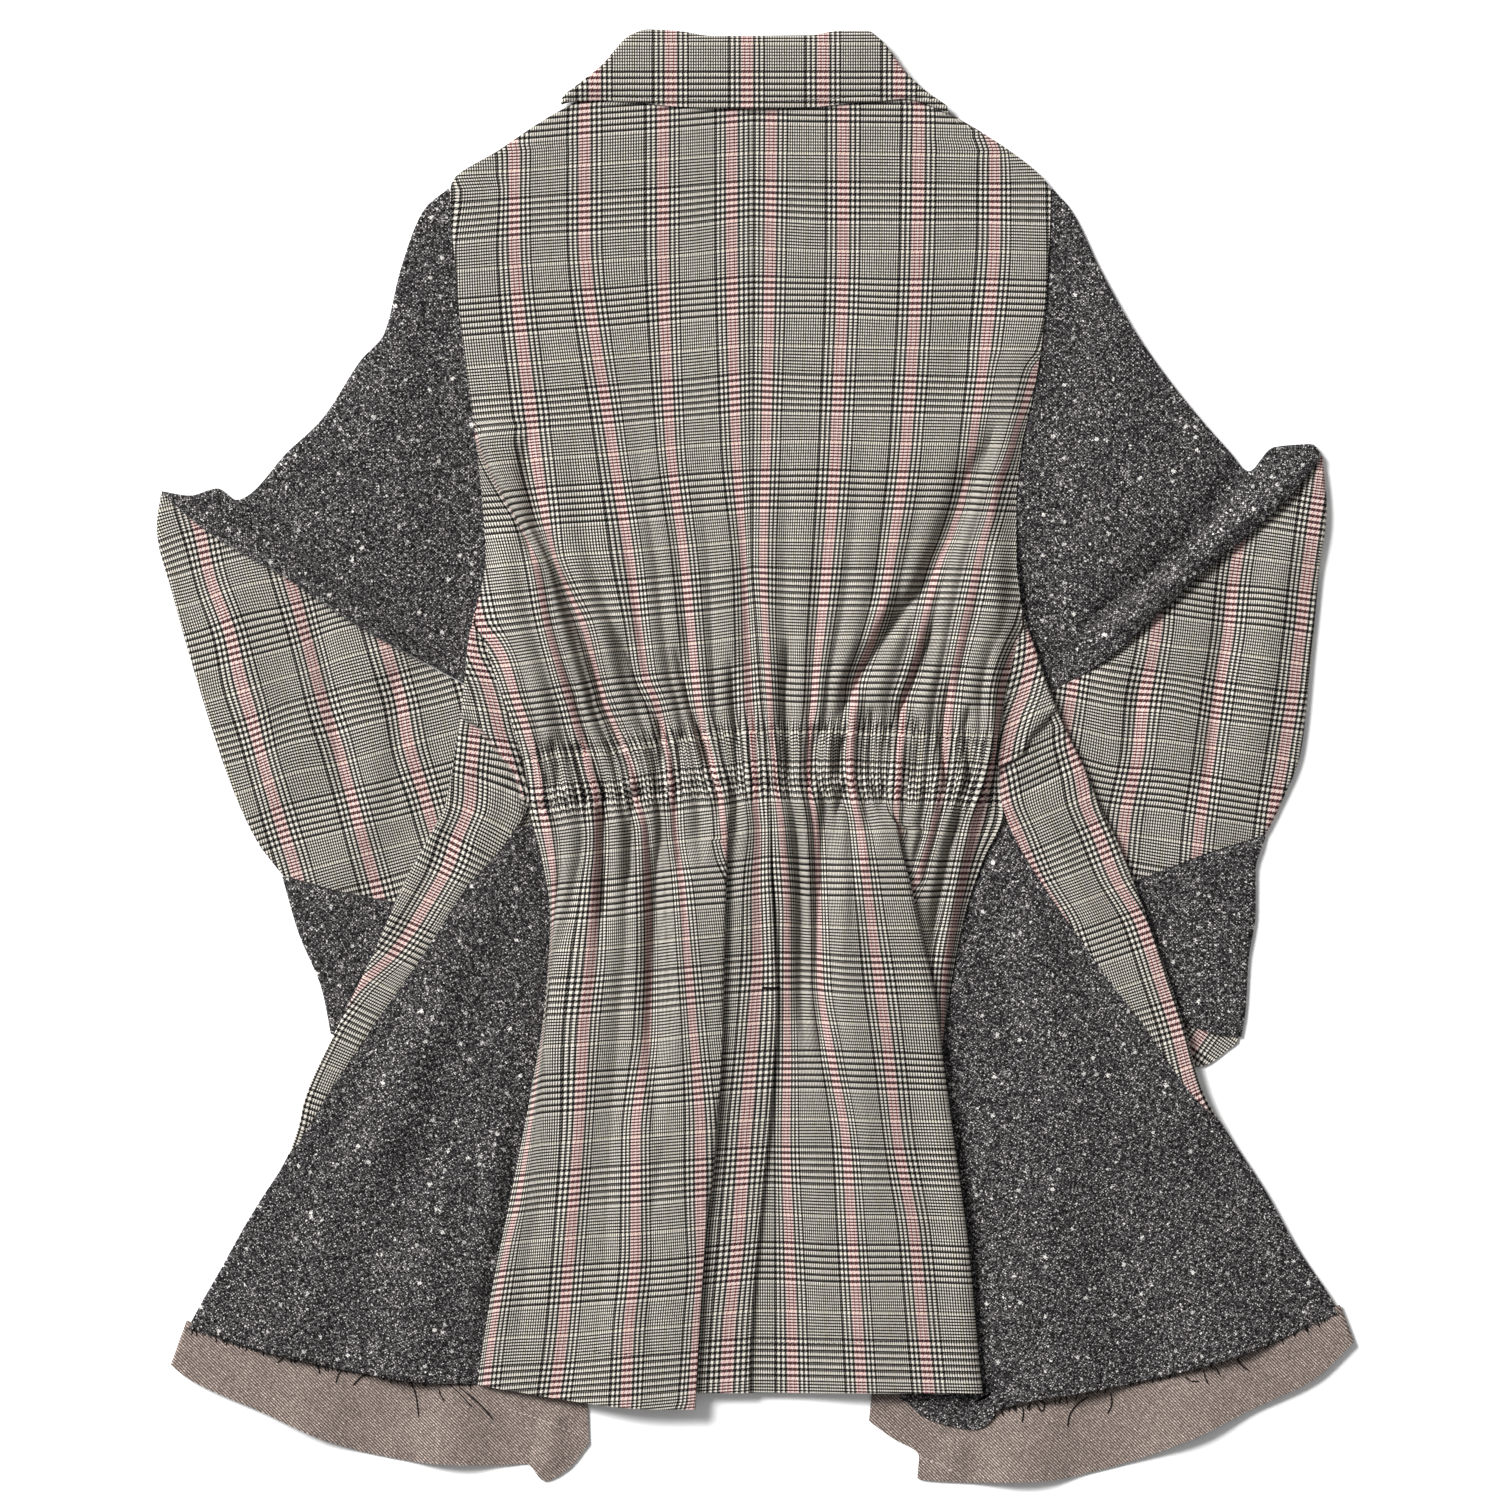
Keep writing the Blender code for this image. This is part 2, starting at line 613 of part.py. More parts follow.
def godet_panel(name, table, back_table, edge_points, out):
    """A tweed godet between the front's strip and the back skirt, turned under at the side below the strip."""
    quarter = fold_quarter()
    radius = (BACK_LEVEL - FRONT_LEVEL) / 2
    lowest = float(edge_points[-1].y)
    grid = []
    for y in GODET_ROWS + (lowest,):
        fold = float(across(table, "fold", y))
        first = float(across(table, "strip", y))
        first += float(wrap_gap(first))
        seam_height = BACK_HEM if y == lowest else y
        seam = float(across(back_table, "side", seam_height)) + out * SEAM_GAP * (3 if y == lowest else 1)
        last = quarter + abs(fold - seam) - radius
        if first < -quarter - 2:
            turn = [-quarter, -quarter / 2, 0, quarter / 2, quarter]
            edge = [first, (first - quarter) / 2] + turn
        else:
            edge = list(np.linspace(first, max(quarter, first + min(2 * quarter, 0.45 * (last - first))), 7))
        shares = np.array((0.15, 0.3, 0.48, 0.64, 0.82, 1))
        around = np.concatenate([edge, edge[-1] + (last - edge[-1]) * shares])
        points = side_section(table, np.full(len(around), float(y)), around, out)
        if y == lowest:
            points[:, 1] = raw_edge(edge_points, points[:, 0])
        waves = godet_waves(y, (around - edge[-1]) / (last - edge[-1]), out)
        points[:, 2] += waves
        grid.append(points)
    wall(name, np.array(grid), TWEED, TWEED_CLOTH, sections=True)


# Soft flutes of the godets, from the strip to the skirt seam: place across, half width and height at the hem.
Flute = namedtuple("Flute", "place half height")
GODET_FLUTES = (Flute(0.30, 0.22, 5.0), Flute(0.74, 0.2, 6.0))


def godet_waves(y, share, out):
    """Heights of a godet's flutes at a height and at shares of the way across it."""
    grown = ease(-90, -380, y)
    heights = np.zeros_like(share)
    for flute in GODET_FLUTES:
        away = np.clip(np.abs(share - flute.place) / flute.half, 0, 1)
        heights += flute.height * grown * (1 + np.cos(np.pi * away)) / 2
    return heights


BAND_UNDER = 0.16
BAND_LEVEL = TWEED / 2
BAND_TOP = BAND_LEVEL + 3.4
# Waves of a hem band along its upper layer: share of its length from the corner, half width and height.
BAND_WAVES = (Flute(0.34, 0.14, 6.0), Flute(0.66, 0.12, 7.0))


def band_panel(name, edge_points, hem_points, end, out):
    """A hem band below a godet, from under the corner, round it and along to the inner end."""
    upper_line = [end] + list(edge_points)
    upper_line = [(point.x, point.y - 1.0) for point in upper_line][::-1]
    lower_line = [(point.x, point.y) for point in hem_points][::-1]
    radius = (BAND_TOP - BAND_LEVEL) / 2
    length = sum(np.hypot(b[0] - a[0], b[1] - a[1]) for a, b in zip(upper_line, upper_line[1:]))
    start = radius / length
    down = np.linspace(0, 1, 5)
    grid = []
    for angle, share in (
        [(-90, BAND_UNDER), (-90, BAND_UNDER / 2)]
        + [(angle, start * (1 - np.cos(np.radians(angle)))) for angle in (-90, -45, 0, 45, 90)]
        + [(90, share) for share in np.linspace(start, 1, 20)[1:]]
    ):
        upper = along_line(upper_line, [share])
        lower = along_line(lower_line, [share])
        line = upper + (lower - upper) * down[:, None]
        level = BAND_LEVEL + radius + radius * np.sin(np.radians(angle)) + np.zeros(len(down))
        if angle == 90:
            level -= (BAND_TOP - BAND_LEVEL) * ease(BAND_UNDER + 0.03, BAND_UNDER + 0.2, share)
            level += band_waves(share, down)
        grid.append(np.column_stack([line, level]))
    wall(name, np.array(grid), TWEED, BAND_CLOTH)


def band_waves(share, down):
    """Heights of a band's waves at a share of its length and shares of its width."""
    heights = np.zeros_like(down)
    for wave in BAND_WAVES:
        away = np.clip(abs(share - wave.place) / wave.half, 0, 1)
        heights += wave.height * (1 + np.cos(np.pi * away)) / 2 * (0.45 + 0.55 * down)
    return heights


def coons(upper, lower, outer, inner, over, down):
    """A point inside four edges: shares over, from the outer to the inner edge, and down."""
    top = along_line(upper, over)
    bottom = along_line(lower, over)
    left = along_line(outer, [down])[0]
    right = along_line(inner, [down])[0]
    over = np.asarray(over)[:, None]
    corners = (1 - over) * (1 - down) * top[0] + over * (1 - down) * top[-1]
    corners = corners + (1 - over) * down * bottom[0] + over * down * bottom[-1]
    return (1 - down) * top + down * bottom + (1 - over) * left + over * right - corners


def sleeve_height(tier, index, over, down, clear):
    """Height of a sleeve's upper layer above its flat level, at shares over and down a tier."""
    heights = SLEEVE_HEIGHTS[index]
    crown = heights.crown_top + (heights.crown_bottom - heights.crown_top) * down
    puff = 0.75 + 0.25 * np.sin(np.pi * over)
    ridge = heights.ridge * np.exp(-(((down - heights.ridge_place) / 0.07) ** 2)) * (1 - 0.7 * over)
    valley = SLEEVE_VALLEY * np.exp(-(((down - 0.78) / 0.05) ** 2)) if index == 0 else 0
    return (crown * puff + ridge - valley - SLEEVE_FLAT) * clear


def sleeve_tier(name, upper, tier, index, side_table, out, cloth):
    """One tier of a sleeve: a flattened tube with its under layer on the floor."""
    rows = (10, 7, 5)[index]
    grid = []
    for down in np.linspace(0, 1, rows):
        ends = coons(upper, tier.lower, tier.outer, tier.inner, [0, 1], down)
        width = np.linalg.norm(ends[1] - ends[0])
        edge = 2.6 / width
        over = np.concatenate([[0, 0.3 * edge, edge], np.linspace(0, 1, 8)[1:-1], [1 - edge, 1 - 0.3 * edge, 1]])
        back = np.array([1 - 0.3 * edge, 1 - edge, 0.75, 0.5, 0.25, edge, 0.3 * edge])
        top = coons(upper, tier.lower, tier.outer, tier.inner, over, down)
        bottom = coons(upper, tier.lower, tier.outer, tier.inner, np.concatenate([[0], back[::-1], [1]]), down)
        bottom = bottom[1:-1][::-1]
        fold = across(side_table, "fold", top[:, 1])
        clear = ease(14, 55, out * (top[:, 0] - fold))
        level = SLEEVE_FLAT + sleeve_height(tier, index, over, down, clear)
        middle = (SLEEVE_FLOOR + SLEEVE_FLAT) / 2
        round_top = np.sqrt(np.clip(1 - (1 - np.minimum(over, 1 - over) / edge).clip(0, 1) ** 2, 0, 1))
        z_top = middle + (level - middle) * round_top
        round_under = np.sqrt(np.clip(1 - (1 - np.minimum(back, 1 - back) / edge).clip(0, 1) ** 2, 0, 1))
        z_under = middle - (middle - SLEEVE_FLOOR) * round_under
        ring = np.concatenate([np.column_stack([top, z_top]), np.column_stack([bottom, z_under])])
        grid.append(ring)
    wall(name, np.array(grid), TWEED, cloth, tube=True)


def sleeve(name, tiers, back_table, side_table, out):
    """A whole sleeve of three tiers: tweed, check and a tweed cuff."""
    heights = np.linspace(SHOULDER - 8, UNDERARM + 20, 20)
    gap = out * (SEAM_GAP + 0.4)
    upper = [(float(across(back_table, "side", y)) + gap, y) for y in heights]
    upper = [tiers[0].outer[0]] + upper + [tiers[0].inner[0]]
    parts = (("upper", TWEED_CLOTH), ("middle", CHECK_CLOTH), ("cuff", TWEED_CLOTH))
    for index, (part, cloth) in enumerate(parts):
        tier = tiers[index]
        sleeve_tier(f"{name}_{part}", upper, tier, index, side_table, out, cloth)
        upper = [(x, y - 1.0) for x, y in tier.lower]


def cuff_facing(name, upper, tier):
    """The turned facing that shows below the right cuff, flat on the floor."""
    over = np.linspace(0, 1, 7)
    grid = []
    for down in np.linspace(0, 1, 3):
        points = coons(upper, tier.lower, tier.outer, tier.inner, over, down)
        grid.append(np.column_stack([points, np.full(len(over), SUITING / 2)]))
    wall(name, np.array(grid), SUITING, CHECK_CLOTH)


def collar_panel(name):
    """The collar: its stand from the neck seam up to the roll, and its fall turned down over the back."""
    radius = (COLLAR_FALL - COLLAR_STAND) / 2
    places = column(COLLAR, "x")
    grid = []
    for x in np.concatenate([np.linspace(-128, -66, 7), np.linspace(-40, 40, 4), np.linspace(63, 125, 7)]):
        roll, fall, neck = (float(smooth_through(places, column(COLLAR, key), x)) for key in ("roll", "fall", "neck"))
        room = min(radius, (roll - neck) * 0.9)
        angles = np.linspace(-np.pi / 2, np.pi / 2, 6)
        stand = np.linspace(neck, roll - room, 3)[:-1]
        turned = roll - room + room * np.cos(angles)
        down = np.linspace(roll - room, fall, 5)[1:]
        y = np.concatenate([stand, turned, down])
        z = np.concatenate([np.full(2, COLLAR_STAND), COLLAR_STAND + radius + radius * np.sin(angles),
                            COLLAR_FALL - 1.2 * np.linspace(0, 1, 5)[1:]])
        grid.append(np.column_stack([np.full(len(y), x), y, z]))
    wall(name, np.array(grid), SUITING, CHECK_CLOTH)


def build():
    """Make every piece of the coat."""
    for item in list(bpy.data.objects):
        bpy.data.objects.remove(item, do_unlink=True)
    front_panel("front_right", RIGHT_SIDE, 1, overlap=False)
    front_panel("front_left", LEFT_SIDE, -1, overlap=True)
    back_panel("back_left", LEFT_BACK, LEFT_GATHERS, LEFT_PLEAT, -1)
    back_panel("back_right", RIGHT_BACK, RIGHT_GATHERS, RIGHT_PLEAT, 1)
    godet_panel("godet_left", LEFT_SIDE, LEFT_BACK, LEFT_RAW_EDGE, -1)
    godet_panel("godet_right", RIGHT_SIDE, RIGHT_BACK, RIGHT_RAW_EDGE, 1)
    band_panel("hem_band_left", LEFT_RAW_EDGE, LEFT_BAND_HEM, LEFT_BAND_END, -1)
    band_panel("hem_band_right", RIGHT_RAW_EDGE, RIGHT_BAND_HEM, RIGHT_BAND_END, 1)
    sleeve("sleeve_left", LEFT_SLEEVE, LEFT_BACK, LEFT_SIDE, -1)
    sleeve("sleeve_right", RIGHT_SLEEVE, RIGHT_BACK, RIGHT_SIDE, 1)
    cuff_facing("cuff_facing_right", FACING_UPPER, RIGHT_CUFF_FACING)
    collar_panel("collar")


build()
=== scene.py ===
"""Looks of a long blazer coat that lies face down with its back up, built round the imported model.

Lengths are in millimetres until a mesh is made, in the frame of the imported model: +X to the right of the
back as it is seen, +Y towards the collar and +Z up from the floor.
"""

import logging
from collections.abc import Mapping, Sequence
from dataclasses import dataclass, field
from enum import Enum

import bpy
import numpy as np
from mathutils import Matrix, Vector
from mathutils.bvhtree import BVHTree


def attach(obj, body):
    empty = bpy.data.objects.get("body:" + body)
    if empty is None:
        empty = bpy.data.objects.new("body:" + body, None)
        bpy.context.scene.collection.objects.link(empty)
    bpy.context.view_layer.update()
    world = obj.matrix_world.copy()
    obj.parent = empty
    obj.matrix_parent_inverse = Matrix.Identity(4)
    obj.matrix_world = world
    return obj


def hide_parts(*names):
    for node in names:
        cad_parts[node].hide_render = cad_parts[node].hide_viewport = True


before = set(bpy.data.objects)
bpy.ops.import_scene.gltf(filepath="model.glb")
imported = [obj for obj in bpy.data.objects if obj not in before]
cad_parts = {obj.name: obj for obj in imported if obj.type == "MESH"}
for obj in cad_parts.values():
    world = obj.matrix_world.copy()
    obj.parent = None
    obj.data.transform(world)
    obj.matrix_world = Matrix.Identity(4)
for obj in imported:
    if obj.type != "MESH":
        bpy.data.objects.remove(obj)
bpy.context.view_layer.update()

LOG = logging.getLogger("blazer_coat")
Array = np.ndarray
Point = tuple[float, float]
Line = Sequence[Point]
Colour = tuple[float, float, float, float]
Socket = bpy.types.NodeSocket
Outputs = bpy.types.NodeOutputs
Piece = bpy.types.Object

METRES = 0.001
CLOTH_MAP = "Cloth"
BAKE_MAP = "OFBake"

# The bake map has a piece's upper face on the left, its lower face on the right and its rims between them.
BAKE_FACE = 0.48
BAKE_LOWER = 0.52
BAKE_RIM = 0.485
BAKE_RIM_STEP = 0.008
BAKE_RIM_WIDTH = 0.006
SHARP_ANGLE = 70

# Levels that the layers lie at, given at the middle of each wall.
FRONT_LEVEL = 0.7
OVERLAP_LEVEL = 2.6
BACK_LEVEL = 5.0
SLEEVE_FLOOR = 0.75
SLEEVE_FLAT = 3.2
SUITING = 0.9
TWEED = 1.3
SEAM_GAP = -0.6
FLOOR_SHARPNESS = 2
SHORTEST = 1e-9
CAST_FROM = 0.2

# Lengths of the garment.
WAIST_BOTTOM = -36
VENT_TOP = -161
VENT_UNDERLAP = 34
VENT_RISE = 3.2
BACK_NECK = 478
BACK_HEM = -446
FRONT_HEM = -440
UNDERARM = 94
SHOULDER = 395

# The check: threads of the warp and weft, and where its first pink line is from the centre back.
WARP_REPEAT = 124
WEFT_REPEAT = 126
STRIPE_REPEAT = 51.0
WARP_PITCH = STRIPE_REPEAT / WARP_REPEAT
WEFT_PITCH = 0.536
FIRST_STRIPE = 14.0
PINK_MIDDLE = 30 * WARP_PITCH
BOLD_BAR_MIDDLE = 28 * WEFT_PITCH
BOLD_BAR_HEIGHT = 388.0


class Side(Enum):
    """The two sides of the coat as its back is seen, each with the way that is outwards."""

    LEFT = -1
    RIGHT = 1

    @property
    def out(self) -> int:
        """The sign of X on this side."""
        return self.value

    @property
    def word(self) -> str:
        """The side's name in a piece's name."""
        return self.name.lower()


class Slot(Enum):
    """The record's material slots."""

    CHECK = "check_suiting"
    TWEED = "charcoal_tweed"
    BAND = "taupe_twill"


def smooth_through(knots: Array, values: Array, at: Array | float) -> Array:
    """Values on a smooth curve through knots that never overshoots them.

    Args:
        knots: Places of the knots, rising.
        values: Value at each knot.
        at: Places to read, held at the ends.

    Returns:
        The curve's value at each place.
    """
    steps = np.diff(knots)
    slopes = np.diff(values) / steps
    tangents = np.empty(len(knots))
    tangents[0], tangents[-1] = slopes[0], slopes[-1]
    same_way = slopes[:-1] * slopes[1:] > 0
    safe = np.where(same_way, slopes[:-1] + slopes[1:], 1)
    tangents[1:-1] = np.where(same_way, 2 * slopes[:-1] * slopes[1:] / safe, 0)
    at = np.clip(np.asarray(at, float), knots[0], knots[-1])
    cell = np.clip(np.searchsorted(knots, at) - 1, 0, len(steps) - 1)
    width = steps[cell]
    share = (at - knots[cell]) / width
    start = (1 + 2 * share) * (1 - share) ** 2 * values[cell]
    start = start + share * (1 - share) ** 2 * width * tangents[cell]
    end = share**2 * (3 - 2 * share) * values[cell + 1]
    end = end + share**2 * (share - 1) * width * tangents[cell + 1]
    return start + end


def ease(low: float, high: float, value: Array | float) -> Array:
    """Rises smoothly from 0 at low to 1 at high."""
    share = np.clip((np.asarray(value, float) - low) / (high - low), 0, 1)
    return share * share * (3 - 2 * share)


def bell(away: Array | float) -> Array:
    """A soft hump that is 1 at 0 and falls away by about 2."""
    return np.exp(-np.square(away))


def soft_floor(value: Array) -> Array:
    """Follows values above 0 and flattens out softly below it."""
    return np.logaddexp(0, FLOOR_SHARPNESS * value) / FLOOR_SHARPNESS


def undulation(x: Array, y: Array, size: float, seed: int) -> Array:
    """Soft uneven heights from about -1 to 1.

    Args:
        x: Places across.
        y: Places along.
        size: About how far apart the humps are.
        seed: Picks the pattern, which is the same each run.

    Returns:
        The height at each place.
    """
    count = 48
    lattice = np.random.default_rng(seed).uniform(-1, 1, (count, count))
    x, y = np.broadcast_arrays(np.asarray(x, float) / size, np.asarray(y, float) / size)
    column, row = np.floor(x).astype(int), np.floor(y).astype(int)
    over, up = ease(0, 1, x - column), ease(0, 1, y - row)
    corner = [lattice[(row + j) % count, (column + i) % count] for j in (0, 1) for i in (0, 1)]
    low = corner[0] + (corner[1] - corner[0]) * over
    high = corner[2] + (corner[3] - corner[2]) * over
    return low + (high - low) * up


@dataclass(frozen=True)
class Waver:
    """Soft unevenness: how high it is, how far apart its humps are and the seed of its pattern."""

    height: float
    size: float
    seed: int

    def __call__(self, x: Array, y: Array | float) -> Array:
        """The unevenness at places."""
        return self.height * undulation(x, y, self.size, self.seed)


@dataclass(frozen=True)
class Hump:
    """A soft hump beside a line: how high it is and how far it reaches."""

    height: float
    half: float

    def __call__(self, away: Array) -> Array:
        """The hump's height at distances from its line."""
        return self.height * bell(away / self.half)


def along_line(points: Line, shares: Array) -> Array:
    """Points at given shares of the length of a smooth line.

    Args:
        points: The line's points.
        shares: Shares of its length, from 0 to 1.

    Returns:
        The points, with a last axis of two.
    """
    line = np.asarray(points, float)
    lengths = np.concatenate([[0], np.cumsum(np.linalg.norm(np.diff(line, axis=0), axis=1))])
    places = np.asarray(shares, float) * lengths[-1]
    return np.stack([smooth_through(lengths, line[:, axis], places) for axis in (0, 1)], axis=-1)


def on_grain(x: Array, y: Array, grain: Array | float) -> tuple[Array, Array]:
    """Where places are across and along a cloth whose grain is turned by an angle in degrees."""
    turn = np.radians(grain)
    return x * np.cos(turn) + y * np.sin(turn), y * np.cos(turn) - x * np.sin(turn)


def put(name: str, data: bpy.types.ID) -> Piece:
    """Put a new object in the scene.

    Args:
        name: Its name.
        data: Its mesh, light or camera.

    Returns:
        The object.
    """
    made = bpy.data.objects.new(name, data)
    bpy.context.scene.collection.objects.link(made)
    return made


@dataclass(frozen=True)
class Curve:
    """A smooth value along the coat, through given values by place."""

    points: Mapping[float, float]

    def __call__(self, at: Array | float) -> Array:
        """The curve's value at each place, held past its ends."""
        knots, values = np.array(sorted(self.points.items()), float).T
        return smooth_through(knots, values, at)

    def spans(self, at: float) -> bool:
        """Whether a place is no lower than the lowest of the points."""
        return at >= min(self.points)


@dataclass(frozen=True)
class Crease:
    """A soft ridge along a line of places, or a trough where its height is below nothing.

    Attributes:
        path: The line, downwards.
        half: How far the crease reaches to the left of it.
        height: How high it is.
        steep: Share of that reach on the right.
        grows: Shares of the line between which it rises.
        fades: Shares of the line between which it falls away.
        ridge_power: How squarely a ridge stands.
        trough_power: The same of a trough.
    """

    path: Line
    half: float
    height: float
    steep: float = 1.0
    grows: Point = (0, 0.2)
    fades: Point = (0.75, 1)
    ridge_power: float = 2.0
    trough_power: float = 1.3

    def lift(self, x: Array, y: Array) -> Array:
        """How far the crease lifts the cloth.

        Args:
            x: Places across.
            y: Places along.

        Returns:
            The lift at each place, fading at both ends of the line.
        """
        line = np.asarray(self.path, float)
        lengths = np.linalg.norm(np.diff(line, axis=0), axis=1)
        nearest = np.full(np.shape(x), np.inf)
        place, reach = np.zeros(np.shape(x)), np.full(np.shape(x), self.half)
        before = 0.0
        for start, run, length in zip(line, np.diff(line, axis=0), lengths):
            share = np.clip(((x - start[0]) * run[0] + (y - start[1]) * run[1]) / length**2, 0, 1)
            away = np.hypot(x - start[0] - share * run[0], y - start[1] - share * run[1])
            place = np.where(away < nearest, before + share * length, place)
            right = run[0] * (y - start[1]) - run[1] * (x - start[0]) > 0
            reach = np.where(away < nearest, self.half * np.where(right, self.steep, 1), reach)
            nearest = np.minimum(nearest, away)
            before += length
        share = place / before
        power = self.trough_power if self.height < 0 else self.ridge_power
        profile = np.exp(-((nearest / reach) ** power))
        return self.height * ease(*self.grows, share) * (1 - ease(*self.fades, share)) * profile


def crease_lift(creases: Sequence[Crease], x: Array, y: Array) -> Array:
    """The lift of several creases together."""
    return sum((crease.lift(x, y) for crease in creases), np.zeros(np.shape(x)))


@dataclass(frozen=True)
class Forearm:
    """A forearm of a sleeve that runs under the side of the coat and lifts what lies over it."""

    top: Point
    end: Point
    rise: float = 5.0
    full: float = 52
    fade: float = 95

    def lift(self, x: Array, y: Array) -> Array:
        """How far the coat is lifted at places.

        Args:
            x: Places across.
            y: Places along.

        Returns:
            The lift at each place.
        """
        run = np.subtract(self.end, self.top)
        share = np.clip(((x - self.top[0]) * run[0] + (y - self.top[1]) * run[1]) / (run @ run), 0, 1)
        away = np.hypot(x - self.top[0] - share * run[0], y - self.top[1] - share * run[1])
        return self.rise * (1 - ease(self.full, self.fade, away))


FOREARMS = (Forearm((-203, 76), (-262, -205)), Forearm((200, 78), (270, -205)))


def arm_lift(x: Array, y: Array) -> Array:
    """How far the forearms underneath lift the coat at places."""
    return np.maximum(*(arm.lift(x, y) for arm in FOREARMS))


@dataclass
class Shell:
    """A piece of cloth as a closed thin wall round a grid of places on its middle.

    Attributes:
        name: The piece's name.
        places: Grid of rows by columns by X, Y and Z.
        cloth: Where each place is on the cut cloth, across and along.
        thickness: The wall's thickness.
        tube: Whether the last column joins the first.
    """

    name: str
    places: Array
    cloth: Array
    thickness: float
    tube: bool = False

    def normals(self) -> Array:
        """Unit normals of the grid.

        Returns:
            A normal for each place.
        """
        if self.tube:
            over = np.roll(self.places, -1, axis=1) - np.roll(self.places, 1, axis=1)
        else:
            over = np.gradient(self.places, axis=1)
        normals = np.cross(over, np.gradient(self.places, axis=0))
        return normals / np.maximum(np.linalg.norm(normals, axis=2, keepdims=True), SHORTEST)

    def faces(self) -> tuple[Array, Array]:
        """Join the places into faces.

        Returns:
            The four-sided faces, and each corner's place on the bake map.
        """
        rows, columns = self.places.shape[:2]
        around = columns if self.tube else columns - 1
        index = np.arange(rows * columns).reshape(rows, columns)
        here, after = index[:, :around], np.roll(index, -1, axis=1)[:, :around]
        top = np.stack([here[:-1], after[:-1], after[1:], here[1:]], axis=-1).reshape(-1, 4)
        row, column = np.mgrid[0 : rows - 1, 0:around]
        across = np.stack([column, column + 1, column + 1, column], axis=-1).reshape(-1, 4) / around
        down = np.stack([row, row, row + 1, row + 1], axis=-1).reshape(-1, 4) / (rows - 1)
        under = rows * columns
        faces = [top, top[:, ::-1] + under]
        maps = [np.stack([BAKE_FACE * across, down], axis=-1)]
        maps.append(np.stack([BAKE_LOWER + BAKE_FACE * across[:, ::-1], down[:, ::-1]], axis=-1))
        rims = [(after[0], here[0]), (here[-1], after[-1])]
        if not self.tube:
            rims += [(index[:-1, 0], index[1:, 0]), (index[1:, -1], index[:-1, -1])]
        for number, (first, second) in enumerate(rims):
            faces.append(np.stack([first, second, second + under, first + under], axis=-1))
            share = np.arange(len(first)) / len(first)
            left = np.full(len(first), BAKE_RIM + BAKE_RIM_STEP * number)
            along = np.stack([share, share + 1 / len(first)] * 2, axis=-1)[:, [0, 1, 3, 2]]
            maps.append(np.stack([left[:, None] + BAKE_RIM_WIDTH * np.array([0, 0, 1, 1]), along], axis=-1))
        return np.concatenate(faces), np.concatenate(maps)

    def build(self, material: bpy.types.Material) -> Piece:
        """Make the piece's mesh and object.

        Args:
            material: The finish that it wears.

        Returns:
            The new object, in the scene.
        """
        half = self.normals() * self.thickness / 2
        points = np.concatenate([(self.places + half).reshape(-1, 3), (self.places - half).reshape(-1, 3)])
        faces, bake = self.faces()
        corners = points[faces]
        if np.linalg.det(corners[:, :3]).sum() + np.linalg.det(corners[:, [0, 2, 3]]).sum() < 0:
            faces, bake = faces[:, ::-1], bake[:, ::-1]
        mesh = bpy.data.meshes.new(self.name)
        mesh.from_pydata((points * METRES).tolist(), [], faces.tolist())
        mesh.shade_smooth()
        mesh.set_sharp_from_angle(angle=np.radians(SHARP_ANGLE))
        cloth = np.tile(self.cloth.reshape(-1, 2), (2, 1))[faces]
        for name, places in ((CLOTH_MAP, cloth * METRES), (BAKE_MAP, bake)):
            mesh.uv_layers.new(name=name).data.foreach_set("uv", places.astype(np.float32).ravel())
        mesh.materials.append(material)
        return put(self.name, mesh)


class Sketch:
    """A node tree being drawn, with short calls for its commonest nodes."""

    def __init__(self, tree: bpy.types.NodeTree) -> None:
        """Start on a tree."""
        self.tree = tree

    def node(self, kind: str, **values: object) -> bpy.types.Node:
        """Add a node.

        Args:
            kind: Its type, without the ShaderNode at the front.
            values: Its inputs by name with _ for a space, each a value or another node's output.

        Returns:
            The node.
        """
        made = self.tree.nodes.new("ShaderNode" + kind)
        for name, value in values.items():
            self.feed(made.inputs[name.replace("_", " ")], value)
        return made

    def feed(self, socket: Socket, value: object) -> None:
        """Link another node's output to an input, or set it.

        Args:
            socket: The input.
            value: A value, or another node's output.
        """
        if isinstance(value, Socket):
            self.tree.links.new(value, socket)
        else:
            socket.default_value = value

    def math(self, operation: str, *values: object) -> Socket:
        """Add a math node.

        Args:
            operation: What it works out.
            values: Up to three values or outputs.

        Returns:
            Its output.
        """
        made = self.tree.nodes.new("ShaderNodeMath")
        made.operation = operation
        for socket, value in zip(made.inputs, values):
            self.feed(socket, value)
        return made.outputs[0]

    def mix(self, share: object, first: object, second: object, blend: str = "MIX") -> Socket:
        """Add a mix of two colours.

        Args:
            share: Share of the second.
            first: The first colour.
            second: The second colour.
            blend: How they are mixed.

        Returns:
            Its output.
        """
        made = self.tree.nodes.new("ShaderNodeMix")
        made.data_type = "RGBA"
        made.blend_type = blend
        for socket, value in ((made.inputs[0], share), (made.inputs[6], first), (made.inputs[7], second)):
            self.feed(socket, value)
        return made.outputs[2]

    def group(self, tree: bpy.types.NodeTree, **values: object) -> bpy.types.Node:
        """Place a node group.

        Args:
            tree: The group.
            values: Its inputs by name with _ for a space.

        Returns:
            Its node.
        """
        made = self.tree.nodes.new("ShaderNodeGroup")
        made.node_tree = tree
        for name, value in values.items():
            self.feed(made.inputs[name.replace("_", " ")], value)
        return made


